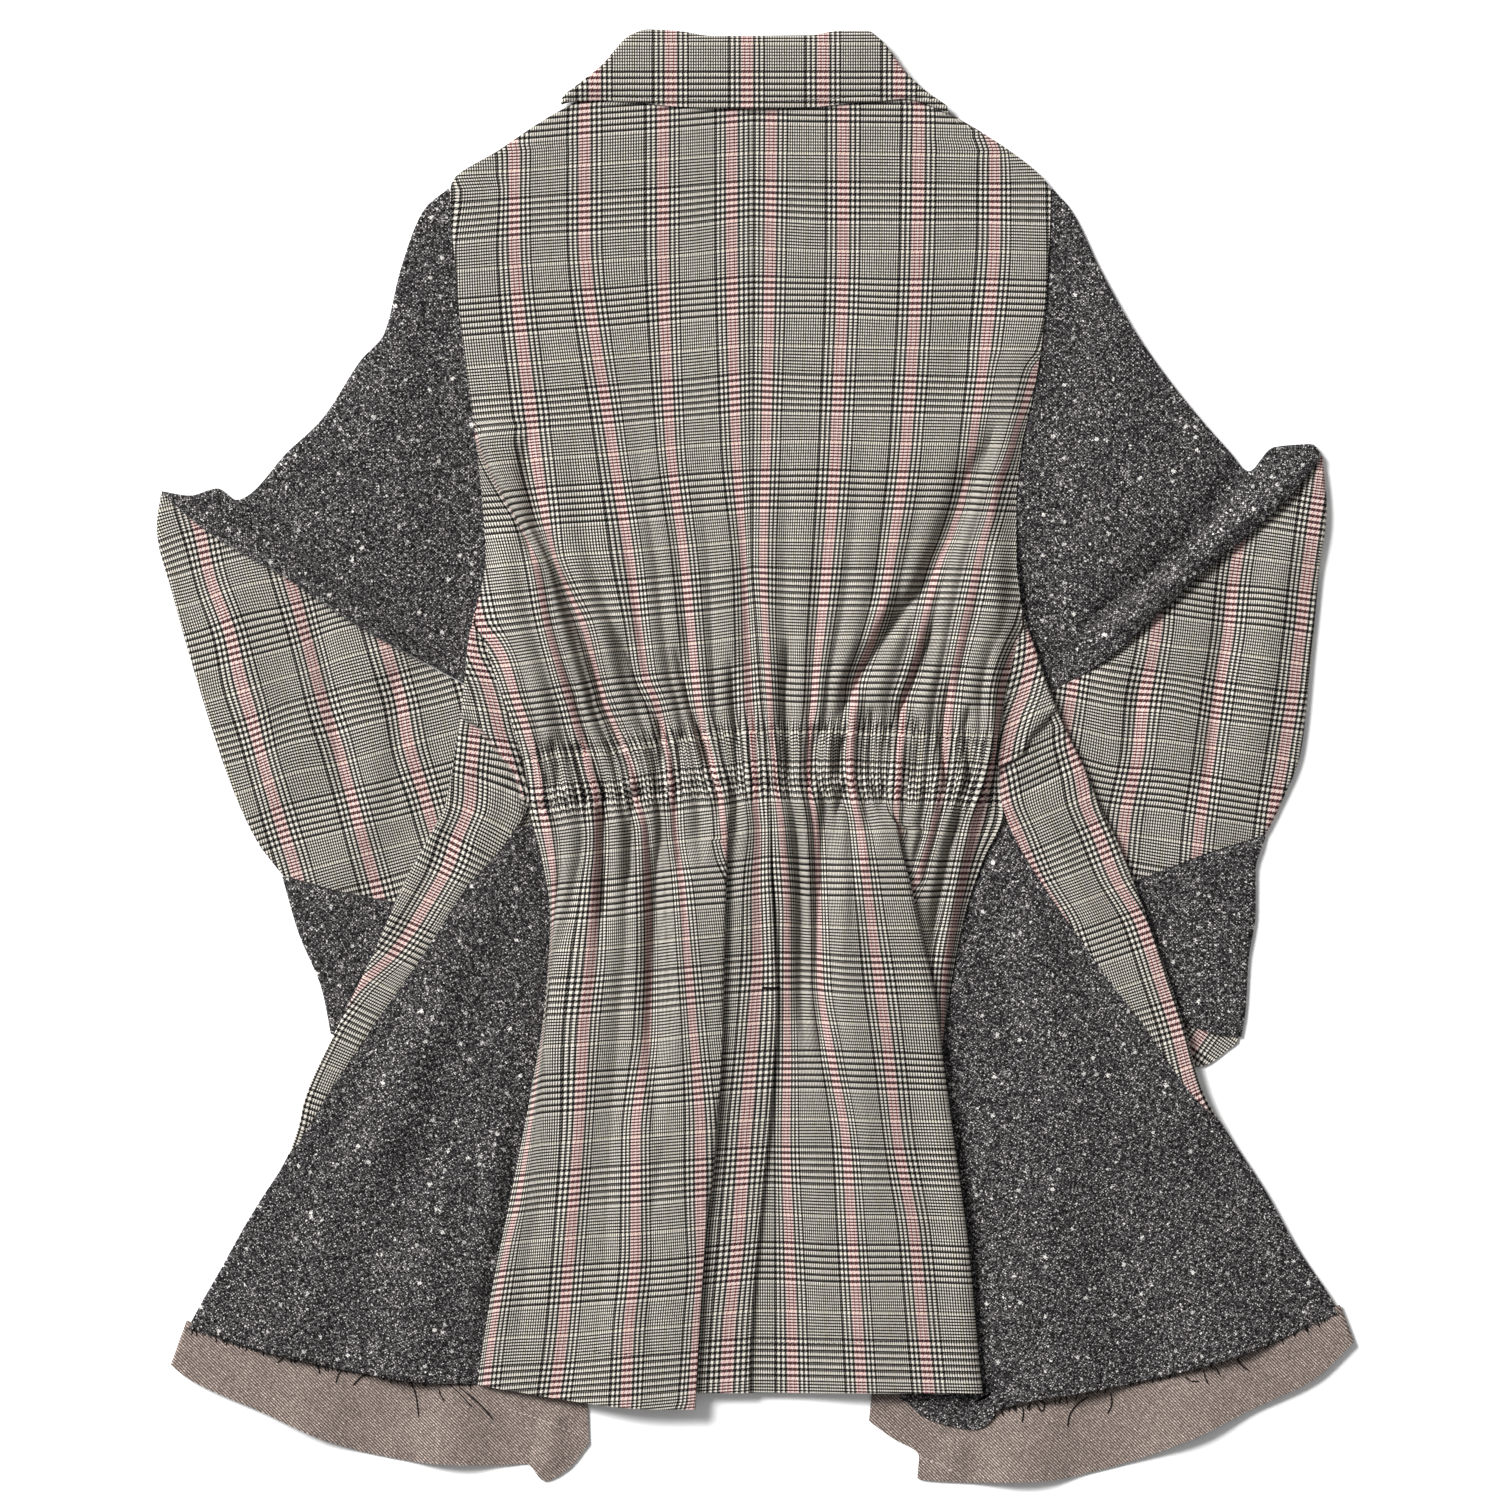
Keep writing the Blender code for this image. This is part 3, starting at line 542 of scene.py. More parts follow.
@dataclass(frozen=True)
class Effect:
    """A shader node group that several finishes use, with its inputs' first values and its outputs."""

    name: str
    takes: tuple[tuple[str, float], ...]
    gives: tuple[str, ...]

    def tree(self) -> bpy.types.NodeTree:
        """Draw the group, once.

        Returns:
            Its tree.
        """
        found = bpy.data.node_groups.get(self.name)
        if found:
            return found
        made = bpy.data.node_groups.new(self.name, "ShaderNodeTree")
        for name, value in self.takes:
            socket = made.interface.new_socket(name, in_out="INPUT", socket_type="NodeSocketFloat")
            socket.default_value = value
        for name in self.gives:
            made.interface.new_socket(name, in_out="OUTPUT", socket_type="NodeSocketFloat")
        sketch = Sketch(made)
        taken = made.nodes.new("NodeGroupInput").outputs
        given = made.nodes.new("NodeGroupOutput").inputs
        for name, socket in self.draw(sketch, taken).items():
            sketch.feed(given[name], socket)
        return made

    def draw(self, sketch: Sketch, taken: Outputs) -> dict[str, Socket]:
        """Draw the group's nodes.

        Args:
            sketch: The group's sketch.
            taken: What comes in.

        Returns:
            What goes to each output.
        """
        raise NotImplementedError


class ThreadGrid(Effect):
    """Warp and weft threads of a twill or a plain weave: which is on top and how round it is."""

    def draw(self, sketch: Sketch, taken: Outputs) -> dict[str, Socket]:
        """Draw the threads from counts of them across and along."""
        warp = sketch.math("FLOOR", taken["Across"])
        weft = sketch.math("FLOOR", taken["Along"])
        step = sketch.math("ADD", sketch.math("ADD", warp, weft), taken["Phase"])
        half = sketch.math("MULTIPLY_ADD", taken["Cycle"], 0.5, -0.5)
        on_top = sketch.math("LESS_THAN", sketch.math("FLOORED_MODULO", step, taken["Cycle"]), half)

        def roundness(count: Socket) -> Socket:
            """How high a thread is across its width."""
            part = sketch.math("FRACT", count)
            rest = sketch.math("SUBTRACT", 1.0, part)
            return sketch.math("MULTIPLY", sketch.math("MULTIPLY", part, 4.0), rest)

        up, over = roundness(taken["Across"]), roundness(taken["Along"])
        height = sketch.math("MULTIPLY_ADD", sketch.math("SUBTRACT", up, over), on_top, over)
        return {"Warp": warp, "Weft": weft, "Warp On Top": on_top, "Height": height}


class ColourOrder(Effect):
    """Order of colours over threads: bold bars of four and four, then fine ones of two and two."""

    def draw(self, sketch: Sketch, taken: Outputs) -> dict[str, Socket]:
        """Draw the order from a thread's number."""
        place = sketch.math("FLOORED_MODULO", taken["Thread"], taken["Repeat"])
        past = sketch.math("SUBTRACT", place, taken["Bold"])
        bold = sketch.math("LESS_THAN", past, -0.5)
        wide = sketch.math("LESS_THAN", sketch.math("FLOORED_MODULO", place, 8.0), 3.5)
        after = sketch.math("GREATER_THAN", sketch.math("SUBTRACT", place, taken["Line"]), 1.5)
        shift = sketch.math("MULTIPLY_ADD", after, taken["Phase After"], taken["Phase"])
        within = sketch.math("FLOORED_MODULO", sketch.math("ADD", past, shift), 4.0)
        narrow = sketch.math("LESS_THAN", within, 1.5)
        dark = sketch.math("MULTIPLY_ADD", sketch.math("SUBTRACT", wide, narrow), bold, narrow)
        middle = sketch.math("SUBTRACT", sketch.math("ADD", place, 0.5), taken["Accent"])
        accent = sketch.math("LESS_THAN", sketch.math("ABSOLUTE", middle), taken["Accent Half"])
        line = sketch.math("SUBTRACT", sketch.math("SUBTRACT", place, 0.5), taken["Line"])
        line = sketch.math("LESS_THAN", sketch.math("ABSOLUTE", line), 0.9)
        return {"Dark": dark, "Accent": accent, "Line": line}


class Mottle(Effect):
    """A soft uneven shade over a cloth and the fine fuzz on it."""

    def draw(self, sketch: Sketch, taken: Outputs) -> dict[str, Socket]:
        """Draw the shade from places on the cloth in metres."""
        place = sketch.node("CombineXYZ", X=taken["Across"], Y=taken["Along"]).outputs[0]
        soft = sketch.node("TexNoise", Vector=place, Scale=taken["Scale"], Detail=3.0).outputs["Fac"]
        fuzz = sketch.node("TexNoise", Vector=place, Scale=2500.0, Detail=2.0).outputs["Fac"]
        shade = sketch.math("MULTIPLY_ADD", sketch.math("SUBTRACT", soft, 0.5), taken["Spread"], 1.0)
        return {"Shade": shade, "Fuzz": fuzz}


class UnevenYarn(Effect):
    """How light a yarn is along its run, uneven from yarn to yarn and with slubs along it."""

    def draw(self, sketch: Sketch, taken: Outputs) -> dict[str, Socket]:
        """Draw the tone from a thread's number and how far along it a place is, in metres."""
        row = sketch.math("MULTIPLY_ADD", taken["Thread"], 7.31, taken["Seed"])
        run = sketch.math("MULTIPLY", taken["Run"], taken["Slubs"])
        place = sketch.node("CombineXYZ", X=row, Y=run).outputs[0]
        noise = sketch.node("TexNoise", Vector=place, Scale=1.0, Detail=1.0).outputs["Fac"]
        away = sketch.math("MULTIPLY", sketch.math("SUBTRACT", noise, 0.5), taken["Spread"])
        return {"Tone": sketch.math("MINIMUM", sketch.math("EXPONENT", away), 9.0)}


class Flecks(Effect):
    """A mask of small uneven flecks scattered over a cloth."""

    def draw(self, sketch: Sketch, taken: Outputs) -> dict[str, Socket]:
        """Draw the mask from places on the cloth in metres."""
        place = sketch.node("CombineXYZ", X=taken["Across"], Y=taken["Along"]).outputs[0]
        bend = sketch.node("TexNoise", Vector=place, Scale=900.0, Detail=1.0).outputs["Fac"]
        cells = sketch.node("TexVoronoi", Vector=place, Scale=taken["Scale"])
        chance = sketch.node("SeparateColor", Color=cells.outputs["Color"]).outputs
        size = sketch.math("MULTIPLY", taken["Size"], sketch.math("MULTIPLY_ADD", bend, 3.0, -0.5))
        near = sketch.math("LESS_THAN", cells.outputs["Distance"], size)
        chosen = sketch.math("LESS_THAN", chance["Red"], taken["Share"])
        strength = sketch.math("MULTIPLY_ADD", chance["Green"], 0.6, 0.4)
        return {"Mask": sketch.math("MULTIPLY", sketch.math("MULTIPLY", near, chosen), strength)}


THREAD_GRID = ThreadGrid(
    "Thread Grid",
    (("Across", 0.0), ("Along", 0.0), ("Phase", 0.0), ("Cycle", 4.0)),
    ("Warp", "Weft", "Warp On Top", "Height"),
)
COLOUR_ORDER = ColourOrder("Colour Order", (
    ("Thread", 0.0), ("Repeat", 124.0), ("Bold", 60.0), ("Line", 92.0), ("Phase", 0.0),
    ("Phase After", 0.0), ("Accent", 30.0), ("Accent Half", 10.0),
), ("Dark", "Accent", "Line"))
MOTTLE = Mottle("Mottle", (
    ("Across", 0.0), ("Along", 0.0), ("Scale", 60.0), ("Spread", 0.2),
), ("Shade", "Fuzz"))
UNEVEN_YARN = UnevenYarn("Uneven Yarn", (
    ("Thread", 0.0), ("Run", 0.0), ("Seed", 0.0), ("Slubs", 500.0), ("Spread", 1.0),
), ("Tone",))
FLECKS = Flecks(
    "Flecks", (("Across", 0.0), ("Along", 0.0), ("Scale", 150.0), ("Size", 0.2), ("Share", 0.2)), ("Mask",)
)


@dataclass(frozen=True)
class Finish:
    """What every finish has: a name, a roughness and how deep its weave is."""

    name: str
    roughness: float = 0.9
    relief: float = 0.35
    relief_depth: float = 0.0004

    def material(self) -> bpy.types.Material:
        """Make the finish's material, once.

        Returns:
            The material.
        """
        found = bpy.data.materials.get(self.name)
        if found:
            return found
        made = bpy.data.materials.new(self.name)
        made.use_nodes = True
        sketch = Sketch(made.node_tree)
        shader = made.node_tree.nodes["Principled BSDF"]
        shader.inputs["Roughness"].default_value = self.roughness
        shader.inputs["Specular IOR Level"].default_value = 0.08
        colour, height = self.draw(sketch)
        sketch.feed(shader.inputs["Base Color"], colour)
        if height is not None:
            bump = sketch.node("Bump", Strength=self.relief, Distance=self.relief_depth, Height=height)
            sketch.feed(shader.inputs["Normal"], bump.outputs[0])
        return made

    def draw(self, sketch: Sketch) -> tuple[Socket, Socket | None]:
        """Draw the finish's nodes.

        Args:
            sketch: The material's sketch.

        Returns:
            Its colour, and its height where it has one.
        """
        raise NotImplementedError


@dataclass(frozen=True)
class WovenFinish(Finish):
    """A finish with warp and weft yarns.

    Attributes:
        warp_pitch: Width of a warp yarn in millimetres.
        weft_pitch: Width of a weft yarn in millimetres.
        cycle: Threads that the weave repeats over: 2 for plain, 4 for a two-and-two twill.
        phase: Where in that the weave starts.
        slubs: Slubs to the metre of yarn.
        spread: How uneven the yarns are.
        mottle: How uneven the whole cloth is.
        shade: Painted shade over each yarn's round: how light the yarns' edges are, and how much lighter
            their middles.
    """

    warp_pitch: float = 0.6
    weft_pitch: float = 0.6
    cycle: float = 4.0
    phase: float = 0.0
    slubs: float = 500.0
    spread: float = 1.0
    mottle: float = 0.2
    shade: Point = (0.7, 0.35)

    def draw(self, sketch: Sketch) -> tuple[Socket, Socket]:
        """Draw the yarns, their colours, their unevenness and a painted shade over each yarn's round."""
        cloth = sketch.tree.nodes.new("ShaderNodeUVMap")
        cloth.uv_map = CLOTH_MAP
        place = sketch.node("SeparateXYZ", Vector=cloth.outputs[0])
        across, along = place.outputs["X"], place.outputs["Y"]
        threads = sketch.group(
            THREAD_GRID.tree(),
            Across=sketch.math("MULTIPLY", across, 1 / (self.warp_pitch * METRES)),
            Along=sketch.math("MULTIPLY", along, 1 / (self.weft_pitch * METRES)),
            Phase=self.phase, Cycle=self.cycle,
        ).outputs
        on_top = threads["Warp On Top"]
        yarn = {"tree": UNEVEN_YARN.tree(), "Slubs": self.slubs, "Spread": self.spread}
        up = sketch.group(Thread=threads["Warp"], Run=along, Seed=3.7, **yarn).outputs[0]
        over = sketch.group(Thread=threads["Weft"], Run=across, Seed=91.3, **yarn).outputs[0]
        tone = sketch.math("MULTIPLY_ADD", sketch.math("SUBTRACT", up, over), on_top, over)
        mottle = sketch.group(MOTTLE.tree(), Across=across, Along=along, Spread=self.mottle).outputs
        # Painted shade: rounded darkens each yarn towards its edges and lightens its middle, as light falls
        # on a round thread; shade below multiplies it with the yarns' own uneven tone and the mottle.
        rounded = sketch.math("MULTIPLY_ADD", threads["Height"], self.shade[1], self.shade[0])
        shade = sketch.math("MULTIPLY", sketch.math("MULTIPLY", tone, mottle["Shade"]), rounded)
        grey = sketch.node("CombineColor", Red=shade, Green=shade, Blue=shade).outputs[0]
        woven = sketch.mix(1.0, self.yarns(sketch, threads), grey, "MULTIPLY")
        height = sketch.math("MULTIPLY_ADD", mottle["Fuzz"], 0.5, threads["Height"])
        return self.over(sketch, woven, across, along), height

    def yarns(self, sketch: Sketch, threads: Outputs) -> Socket:
        """Draw the colour of the yarn that is on top.

        Args:
            sketch: The material's sketch.
            threads: What the thread grid puts out.

        Returns:
            The colour.
        """
        raise NotImplementedError

    def over(self, sketch: Sketch, woven: Socket, across: Socket, along: Socket) -> Socket:
        """Draw what lies over the weave, which is nothing on a plain cloth.

        Args:
            sketch: The material's sketch.
            woven: The weave's colour.
            across: Place across the cloth.
            along: Place along it.

        Returns:
            The colour.
        """
        return woven


@dataclass(frozen=True)
class CheckSuiting(WovenFinish):
    """Glen check of black and ecru with a pink overcheck and cream lines."""

    light: Colour = (0.62, 0.58, 0.515, 1)
    dark: Colour = (0.004, 0.0035, 0.0035, 1)
    pink: Colour = (0.37, 0.105, 0.12, 1)
    rosy: Colour = (0.63, 0.40, 0.385, 1)
    cream: Colour = (0.54, 0.50, 0.39, 1)
    # Partly painted shade, partly real: multiplies a light yarn where it crosses a dark one, for shade
    # falling between the yarns and for the dark yarn showing through.
    between: Colour = (0.32, 0.32, 0.32, 1)

    def yarns(self, sketch: Sketch, threads: Outputs) -> Socket:
        """Draw the orders of colours of the warp and the weft, with painted shade where light and dark
        yarns cross.
        """
        warp = sketch.group(
            COLOUR_ORDER.tree(), Thread=threads["Warp"], Repeat=float(WARP_REPEAT), Bold=60.0, Line=92.0,
            Phase=2.0,
        ).outputs
        weft = sketch.group(
            COLOUR_ORDER.tree(), Thread=threads["Weft"], Repeat=float(WEFT_REPEAT), Bold=56.0, Line=90.0,
            Phase_After=2.0, Accent_Half=0.0,
        ).outputs
        plain = sketch.mix(warp["Dark"], self.light, self.dark)
        rosy = sketch.mix(warp["Dark"], self.rosy, self.pink)
        warp_colour = sketch.mix(warp["Line"], sketch.mix(warp["Accent"], plain, rosy), self.cream)
        weft_colour = sketch.mix(weft["Line"], sketch.mix(weft["Dark"], self.light, self.dark), self.cream)
        woven = sketch.mix(threads["Warp On Top"], weft_colour, warp_colour)
        # Where a light yarn crosses a dark one, the colour is multiplied by between: painted shade between
        # the yarns, and partly the dark yarn showing through.
        black = sketch.math("MULTIPLY", warp["Dark"], sketch.math("SUBTRACT", 1.0, warp["Accent"]))
        differ = sketch.math("ABSOLUTE", sketch.math("SUBTRACT", black, weft["Dark"]))
        return sketch.mix(differ, woven, sketch.mix(1.0, woven, self.between, "MULTIPLY"))


@dataclass(frozen=True)
class FleckedTweed(WovenFinish):
    """Coarse tweed of dark and grey yarns with white neps of three sizes."""

    grey: Colour = (0.0565, 0.0532, 0.0532, 1)
    weft: float = 0.45
    nep: Colour = (0.72, 0.70, 0.66, 1)
    neps: tuple[tuple[float, float, float], ...] = (
        (130.0, 0.17, 0.28), (300.0, 0.22, 0.17), (620.0, 0.26, 0.07),
    )

    def yarns(self, sketch: Sketch, threads: Outputs) -> Socket:
        """Draw weft yarns a little darker than the warp's."""
        weft = (*(self.weft * part for part in self.grey[:3]), 1)
        return sketch.mix(threads["Warp On Top"], weft, self.grey)

    def over(self, sketch: Sketch, woven: Socket, across: Socket, along: Socket) -> Socket:
        """Draw the neps."""
        for scale, size, share in self.neps:
            look = {"Scale": scale, "Size": size, "Share": share}
            mask = sketch.group(FLECKS.tree(), Across=across, Along=along, **look).outputs[0]
            woven = sketch.mix(mask, woven, self.nep)
        return woven


@dataclass(frozen=True)
class TaupeTwill(WovenFinish):
    """Fine twill of cream and brown yarns."""

    light: Colour = (0.37, 0.302, 0.265, 1)
    dark: Colour = (0.076, 0.056, 0.05, 1)

    def yarns(self, sketch: Sketch, threads: Outputs) -> Socket:
        """Draw cream weft yarns over a brown warp."""
        return sketch.mix(threads["Warp On Top"], self.light, self.dark)


@dataclass(frozen=True)
class SewingThread(Finish):
    """Spun sewing thread of one colour, a little uneven."""

    colour: Colour = (0.008, 0.007, 0.007, 1)

    def draw(self, sketch: Sketch) -> tuple[Socket, None]:
        """Draw the thread's colour."""
        place = sketch.tree.nodes.new("ShaderNodeTexCoord").outputs["Object"]
        part = sketch.node("SeparateXYZ", Vector=place).outputs
        places = {"Across": part["X"], "Along": part["Y"]}
        shade = sketch.group(MOTTLE.tree(), Scale=900.0, Spread=0.6, **places).outputs[0]
        grey = sketch.node("CombineColor", Red=shade, Green=shade, Blue=shade).outputs[0]
        return sketch.mix(1.0, self.colour, grey, "MULTIPLY"), None


CHECK = CheckSuiting(
    "check_suiting_woven", warp_pitch=WARP_PITCH, weft_pitch=WEFT_PITCH, phase=2.0, shade=(0.8, 0.28),
)
TWEED_CLOTH = FleckedTweed(
    "charcoal_tweed_flecked", roughness=0.95, relief=0.6, relief_depth=0.0007, warp_pitch=1.05,
    weft_pitch=1.05, cycle=2.0, slubs=600.0, spread=14.0, mottle=0.45, shade=(0.25, 0.95),
)
BAND_CLOTH = TaupeTwill("taupe_twill_woven", relief=0.5, relief_depth=0.0005, spread=3.0, mottle=0.35)
BLACK_THREAD = SewingThread("black_thread")
PALE_THREAD = SewingThread("pale_thread", colour=(0.42, 0.36, 0.33, 1))
GREY_FIBRE = SewingThread("grey_fibre", colour=(0.05, 0.048, 0.048, 1))


@dataclass(frozen=True)
class Cut:
    """The flat size that a piece of cloth was cut to, in metres, and the area of its shape."""

    width: float
    length: float
    area: float


def dress(piece: Piece, node: str) -> Piece:
    """Hang a finished piece of cloth on the frame in the place of its solid.

    Args:
        piece: The piece.
        node: The solid that it stands for.

    Returns:
        The same piece.
    """
    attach(piece, "root")
    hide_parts(node)
    LOG.info("%s: %d faces", piece.name, len(piece.data.polygons))
    return piece


@dataclass(frozen=True)
class Mark:
    """A place on the cut cloth, from the centre seam, and where it lies across the coat at each height."""

    place: float
    line: Curve


@dataclass(frozen=True)
class Lap:
    """A pleat of the back skirt.

    Attributes:
        edge: Where its visible edge lies across the coat, by height.
        place: Where that edge is on the cut cloth, by height.
        depth: How far the cloth goes back under, by height.
        inner_on_top: Whether the cloth nearer the centre is the one on top.
        start: Height where it begins to turn.
        turned: Height where it is turned right over.
        layer: How far one layer lifts the next.
        softness: How softly the cloth turns.
        sharpness: How quickly the layers rise at a turn.
        run_off: Where the lift starts and ends to die away past a turn, as a share of the depth and more.
        clearance: How far past the layers the gathers start and are whole again.
        onset: Where the gathers die away, from the start.
    """

    edge: Curve
    place: Curve
    depth: Curve
    inner_on_top: bool
    start: float = -34
    turned: float = -50
    layer: float = 3.0
    softness: float = 2.4
    sharpness: float = 1.3
    run_off: tuple[Point, Point] = ((1.25, 4), (2, 30))
    clearance: Point = (5, 18)
    onset: Point = (6, -4)

    def turns(self, y: float) -> tuple[float, float, float]:
        """The two places on the cut cloth where it turns, and how far back it goes."""
        depth, edge = float(self.depth(y)), float(self.place(y))
        return (edge, edge + depth, depth) if self.inner_on_top else (edge - depth, edge, depth)

    def heights(self, y: float, places: Array) -> Array:
        """How far the layers lift the cloth at places on the cut.

        Args:
            y: Height of the section.
            places: Places on the cut cloth.

        Returns:
            The lift at each place.
        """
        first, second, depth = self.turns(y)
        rise = self.sharpness / self.softness
        steps = [0.5 + 0.5 * np.tanh(rise * (places - turn)) for turn in (first, second)]
        near, far = (times * depth + more for times, more in self.run_off)
        if self.inner_on_top:
            return self.layer * (2 - steps[0] - steps[1]) * ease(first - far, first - near, places)
        return self.layer * (steps[0] + steps[1]) * (1 - ease(second + near, second + far, places))

    def clear(self, y: float, places: Array) -> Array:
        """0 where layers lie on one another, rising to 1 away from that.

        Args:
            y: Height of the section.
            places: Places on the cut cloth.

        Returns:
            A share for each place.
        """
        first, second, depth = self.turns(y)
        near, far = (depth + more for more in self.clearance)
        layered = ease(first - far, first - near, places) * ease(second + far, second + near, places)
        begun = float(ease(*(self.start + more for more in self.onset), y))
        return 1 - begun * layered


CASING_TOP = Curve({-172: -8, -143: 3.5, -121: 5, -64: 12, -21: 18, 101: 18, 137: 10.5, 190: 1.4})
CASING_BOTTOM = Curve({-162: -40, -150: -36, -64: -25, -21: -20, 24: -21.7, 156: -28.7, 174: -40})
GATHERED_RISE = Curve({
    330: 0, 260: 3, 200: 7, 130: 9.5, 45: 10.5, 0: 9, -45: 10, -130: 8, -260: 4, -446: 1.5,
})


@dataclass
class BackPanel:
    """One half of the back, from the neck to the hem, gathered into the casing at the waist.

    Its curves are by height, and the hem's is by place on the cut cloth. The weft slope is how far the weft
    drops over a millimetre across, and the columns are points before, inside and after the pleat.
    """

    side: Side
    seam: Curve
    edge: Curve
    cut: Curve
    marks: tuple[Mark, ...]
    lap: Lap
    creases: tuple[Crease, ...]
    flat: Cut
    hem: Curve
    weft_slope: float
    columns: tuple[int, int, int] = (60, 16, 100)
    turn_columns: int = 8
    turn_share: float = 0.4
    row_step: float = 4.6
    casing_step: float = 2.0
    casing_rows: Point = (34, -60)
    vent_opens: Point = (VENT_TOP + 20, VENT_TOP - 25)
    vent_lifts: Point = (WAIST_BOTTOM - 20, VENT_TOP + 24)
    vent_lap: float = 40
    hem_reach: float = 60
    mark_room: Point = (2, 12)
    knot_gap: float = 4
    under_share: float = 0.95
    last_place: float = 262
    pucker_height: float = 1.5
    pucker_width: float = 8.0
    pucker_offset: float = 0.1
    pucker_run: float = 0.2
    pucker_share: float = 0.65
    pucker_pull: float = 1.1
    pucker_wave: float = 0.9
    top_draw: Hump = Hump(1.0, 9)
    bottom_draw: Hump = Hump(1.0, 10)
    casing_draw: float = 0.55
    casing_edge: float = 6
    top_groove: Hump = Hump(1.5, 2.0)
    bottom_groove: Hump = Hump(2.0, 2.2)
    edge_groove: Hump = Hump(0.7, 2.6)
    seam_half: float = 2.4
    seam_depth: float = 0.9
    waist_depth: Hump = Hump(1.6, 70)
    waist: float = 20
    seam_fade: Point = (VENT_TOP - 10, VENT_TOP + 10)
    gather_height: float = 2.4
    gather_width: float = 25.0
    gather_offset: float = 0.2
    gather_run: float = 0.12
    gather_round: float = 0.015
    gather_middle: float = 1.3
    gather_top: Point = (250, 40)
    gather_bottom: Point = (-280, -50)
    gather_fade: Point = (0, 16)
    rise_fade: Point = (0, 20)
    pull_fade: Point = (0, 10)
    sway_middle: float = 10
    pull_reach: float = 70
    sway_reach: float = 45
    swell: Waver = Waver(0.8, 74, 11)
    ripple: Waver = Waver(0.4, 31, 12)
    pucker_shift: Waver = Waver(0.9, 31, 5)
    pucker_uneven: Waver = Waver(0.5, 26, 8)
    gather_shift: Waver = Waver(0.45, 47, 9)
    gather_reach: Waver = Waver(40, 30, 10)
    side_pull: Waver = Waver(0.7, 40, 15)
    yarn_wave: Waver = Waver(2.2, 17, 16)
    weft_sway: Waver = Waver(1.0, 52, 21)
    waist_sway: Waver = Waver(1.2, 24, 22)
    lowest: float = BACK_LEVEL - 0.9

    def rows(self) -> Array:
        """Heights of the sections, closer together about the casing.

        Returns:
            The heights, downwards.
        """
        top, bottom = self.casing_rows
        above = np.arange(BACK_NECK, top, -self.row_step)
        casing = np.arange(top, bottom, -self.casing_step)
        below = np.linspace(bottom, BACK_HEM, int((BACK_HEM - bottom) / -self.row_step))
        return np.concatenate([above, casing, below])

    def places(self, y: float) -> Array:
        """Places on the cut cloth of one section's points, as many in each stretch at every height.

        Args:
            y: Height of the section.

        Returns:
            The places, outwards.
        """
        first, second, _ = self.lap.turns(y)
        start = -VENT_UNDERLAP * float(ease(*self.vent_opens, y)) if self.side is Side.RIGHT else 0.0
        last = max(float(self.cut(y)), second + self.knot_gap)
        turn = self.turn_share * (second - first)
        stretches = (
            np.linspace(start, first - turn, self.columns[0]),
            np.linspace(first - turn, first + turn, self.turn_columns)[1:],
            np.linspace(first + turn, second - turn, self.columns[1])[1:],
            np.linspace(second - turn, second + turn, self.turn_columns)[1:],
            np.linspace(second + turn, last, self.columns[2])[1:],
        )
        return np.concatenate(stretches)

    def across(self, y: float, places: Array) -> Array:
        """Where places on the cut cloth lie across the coat.

        Args:
            y: Height of the section.
            places: Places on the cut cloth.

        Returns:
            X of each place.
        """
        out = self.side.out
        cut, seam, side = float(self.cut(y)), float(self.seam(y)) + out * SEAM_GAP / 2, float(self.edge(y))
        first, second, depth = self.lap.turns(y)
        fold = float(self.lap.edge(y))
        ends = [(0.0, seam)], [(cut, side)]
        near: list[Point] = []
        for mark in self.marks:
            spare = cut - mark.place
            if spare > self.mark_room[0] and mark.line.spans(y):
                before = (ends[0] + near)[-1]
                free = before[1] + (side - before[1]) * (mark.place - before[0]) / (cut - before[0])
                held = float(ease(*self.mark_room, spare))
                near.append((mark.place, free + (float(mark.line(y)) - free) * held))
        turned = float(ease(self.lap.start, self.lap.turned, y))
        open_knots = np.array(ends[0] + near + ends[1]).T
        lying = self.beyond(open_knots, places)
        if turned == 0:
            return lying
        back = out * self.under_share * depth
        before, after = first, second
        lower: list[Point] = []
        upper: list[Point] = []
        if self.lap.inner_on_top:
            turn_at = fold, fold - back
            if second + depth < self.last_place:
                after = second + depth
                upper = [(after, fold)]
        else:
            turn_at = fold + back, fold
            before = first - depth
            lower = [(before, fold)]
        one = [knot for knot in near if knot[0] < before - self.knot_gap]
        one = ends[0] + one + lower + [(first, turn_at[0])]
        three = [knot for knot in near if knot[0] > after + self.knot_gap]
        three = [(second, turn_at[1])] + upper + three + ends[1]
        soft = self.lap.softness

        def eased(away: Array) -> Array:
            """Distances from a turn, shortened close to it."""
            return away * (1 - np.exp(-away / soft))

        folded = np.where(
            places < first,
            self.beyond(np.array(one).T, first - eased(np.maximum(first - places, 0))),
            np.where(
                places < second,
                turn_at[0] - back * ease(first, second, places),
                self.beyond(np.array(three).T, second + eased(np.maximum(places - second, 0))),
            ),
        )
        return lying + turned * (folded - lying)

    def beyond(self, knots: Array, places: Array) -> Array:
        """A smooth line through knots, going straight on past the first one."""
        inside = smooth_through(knots[0], knots[1], places)
        return inside + self.side.out * np.minimum(places - knots[0][0], 0)

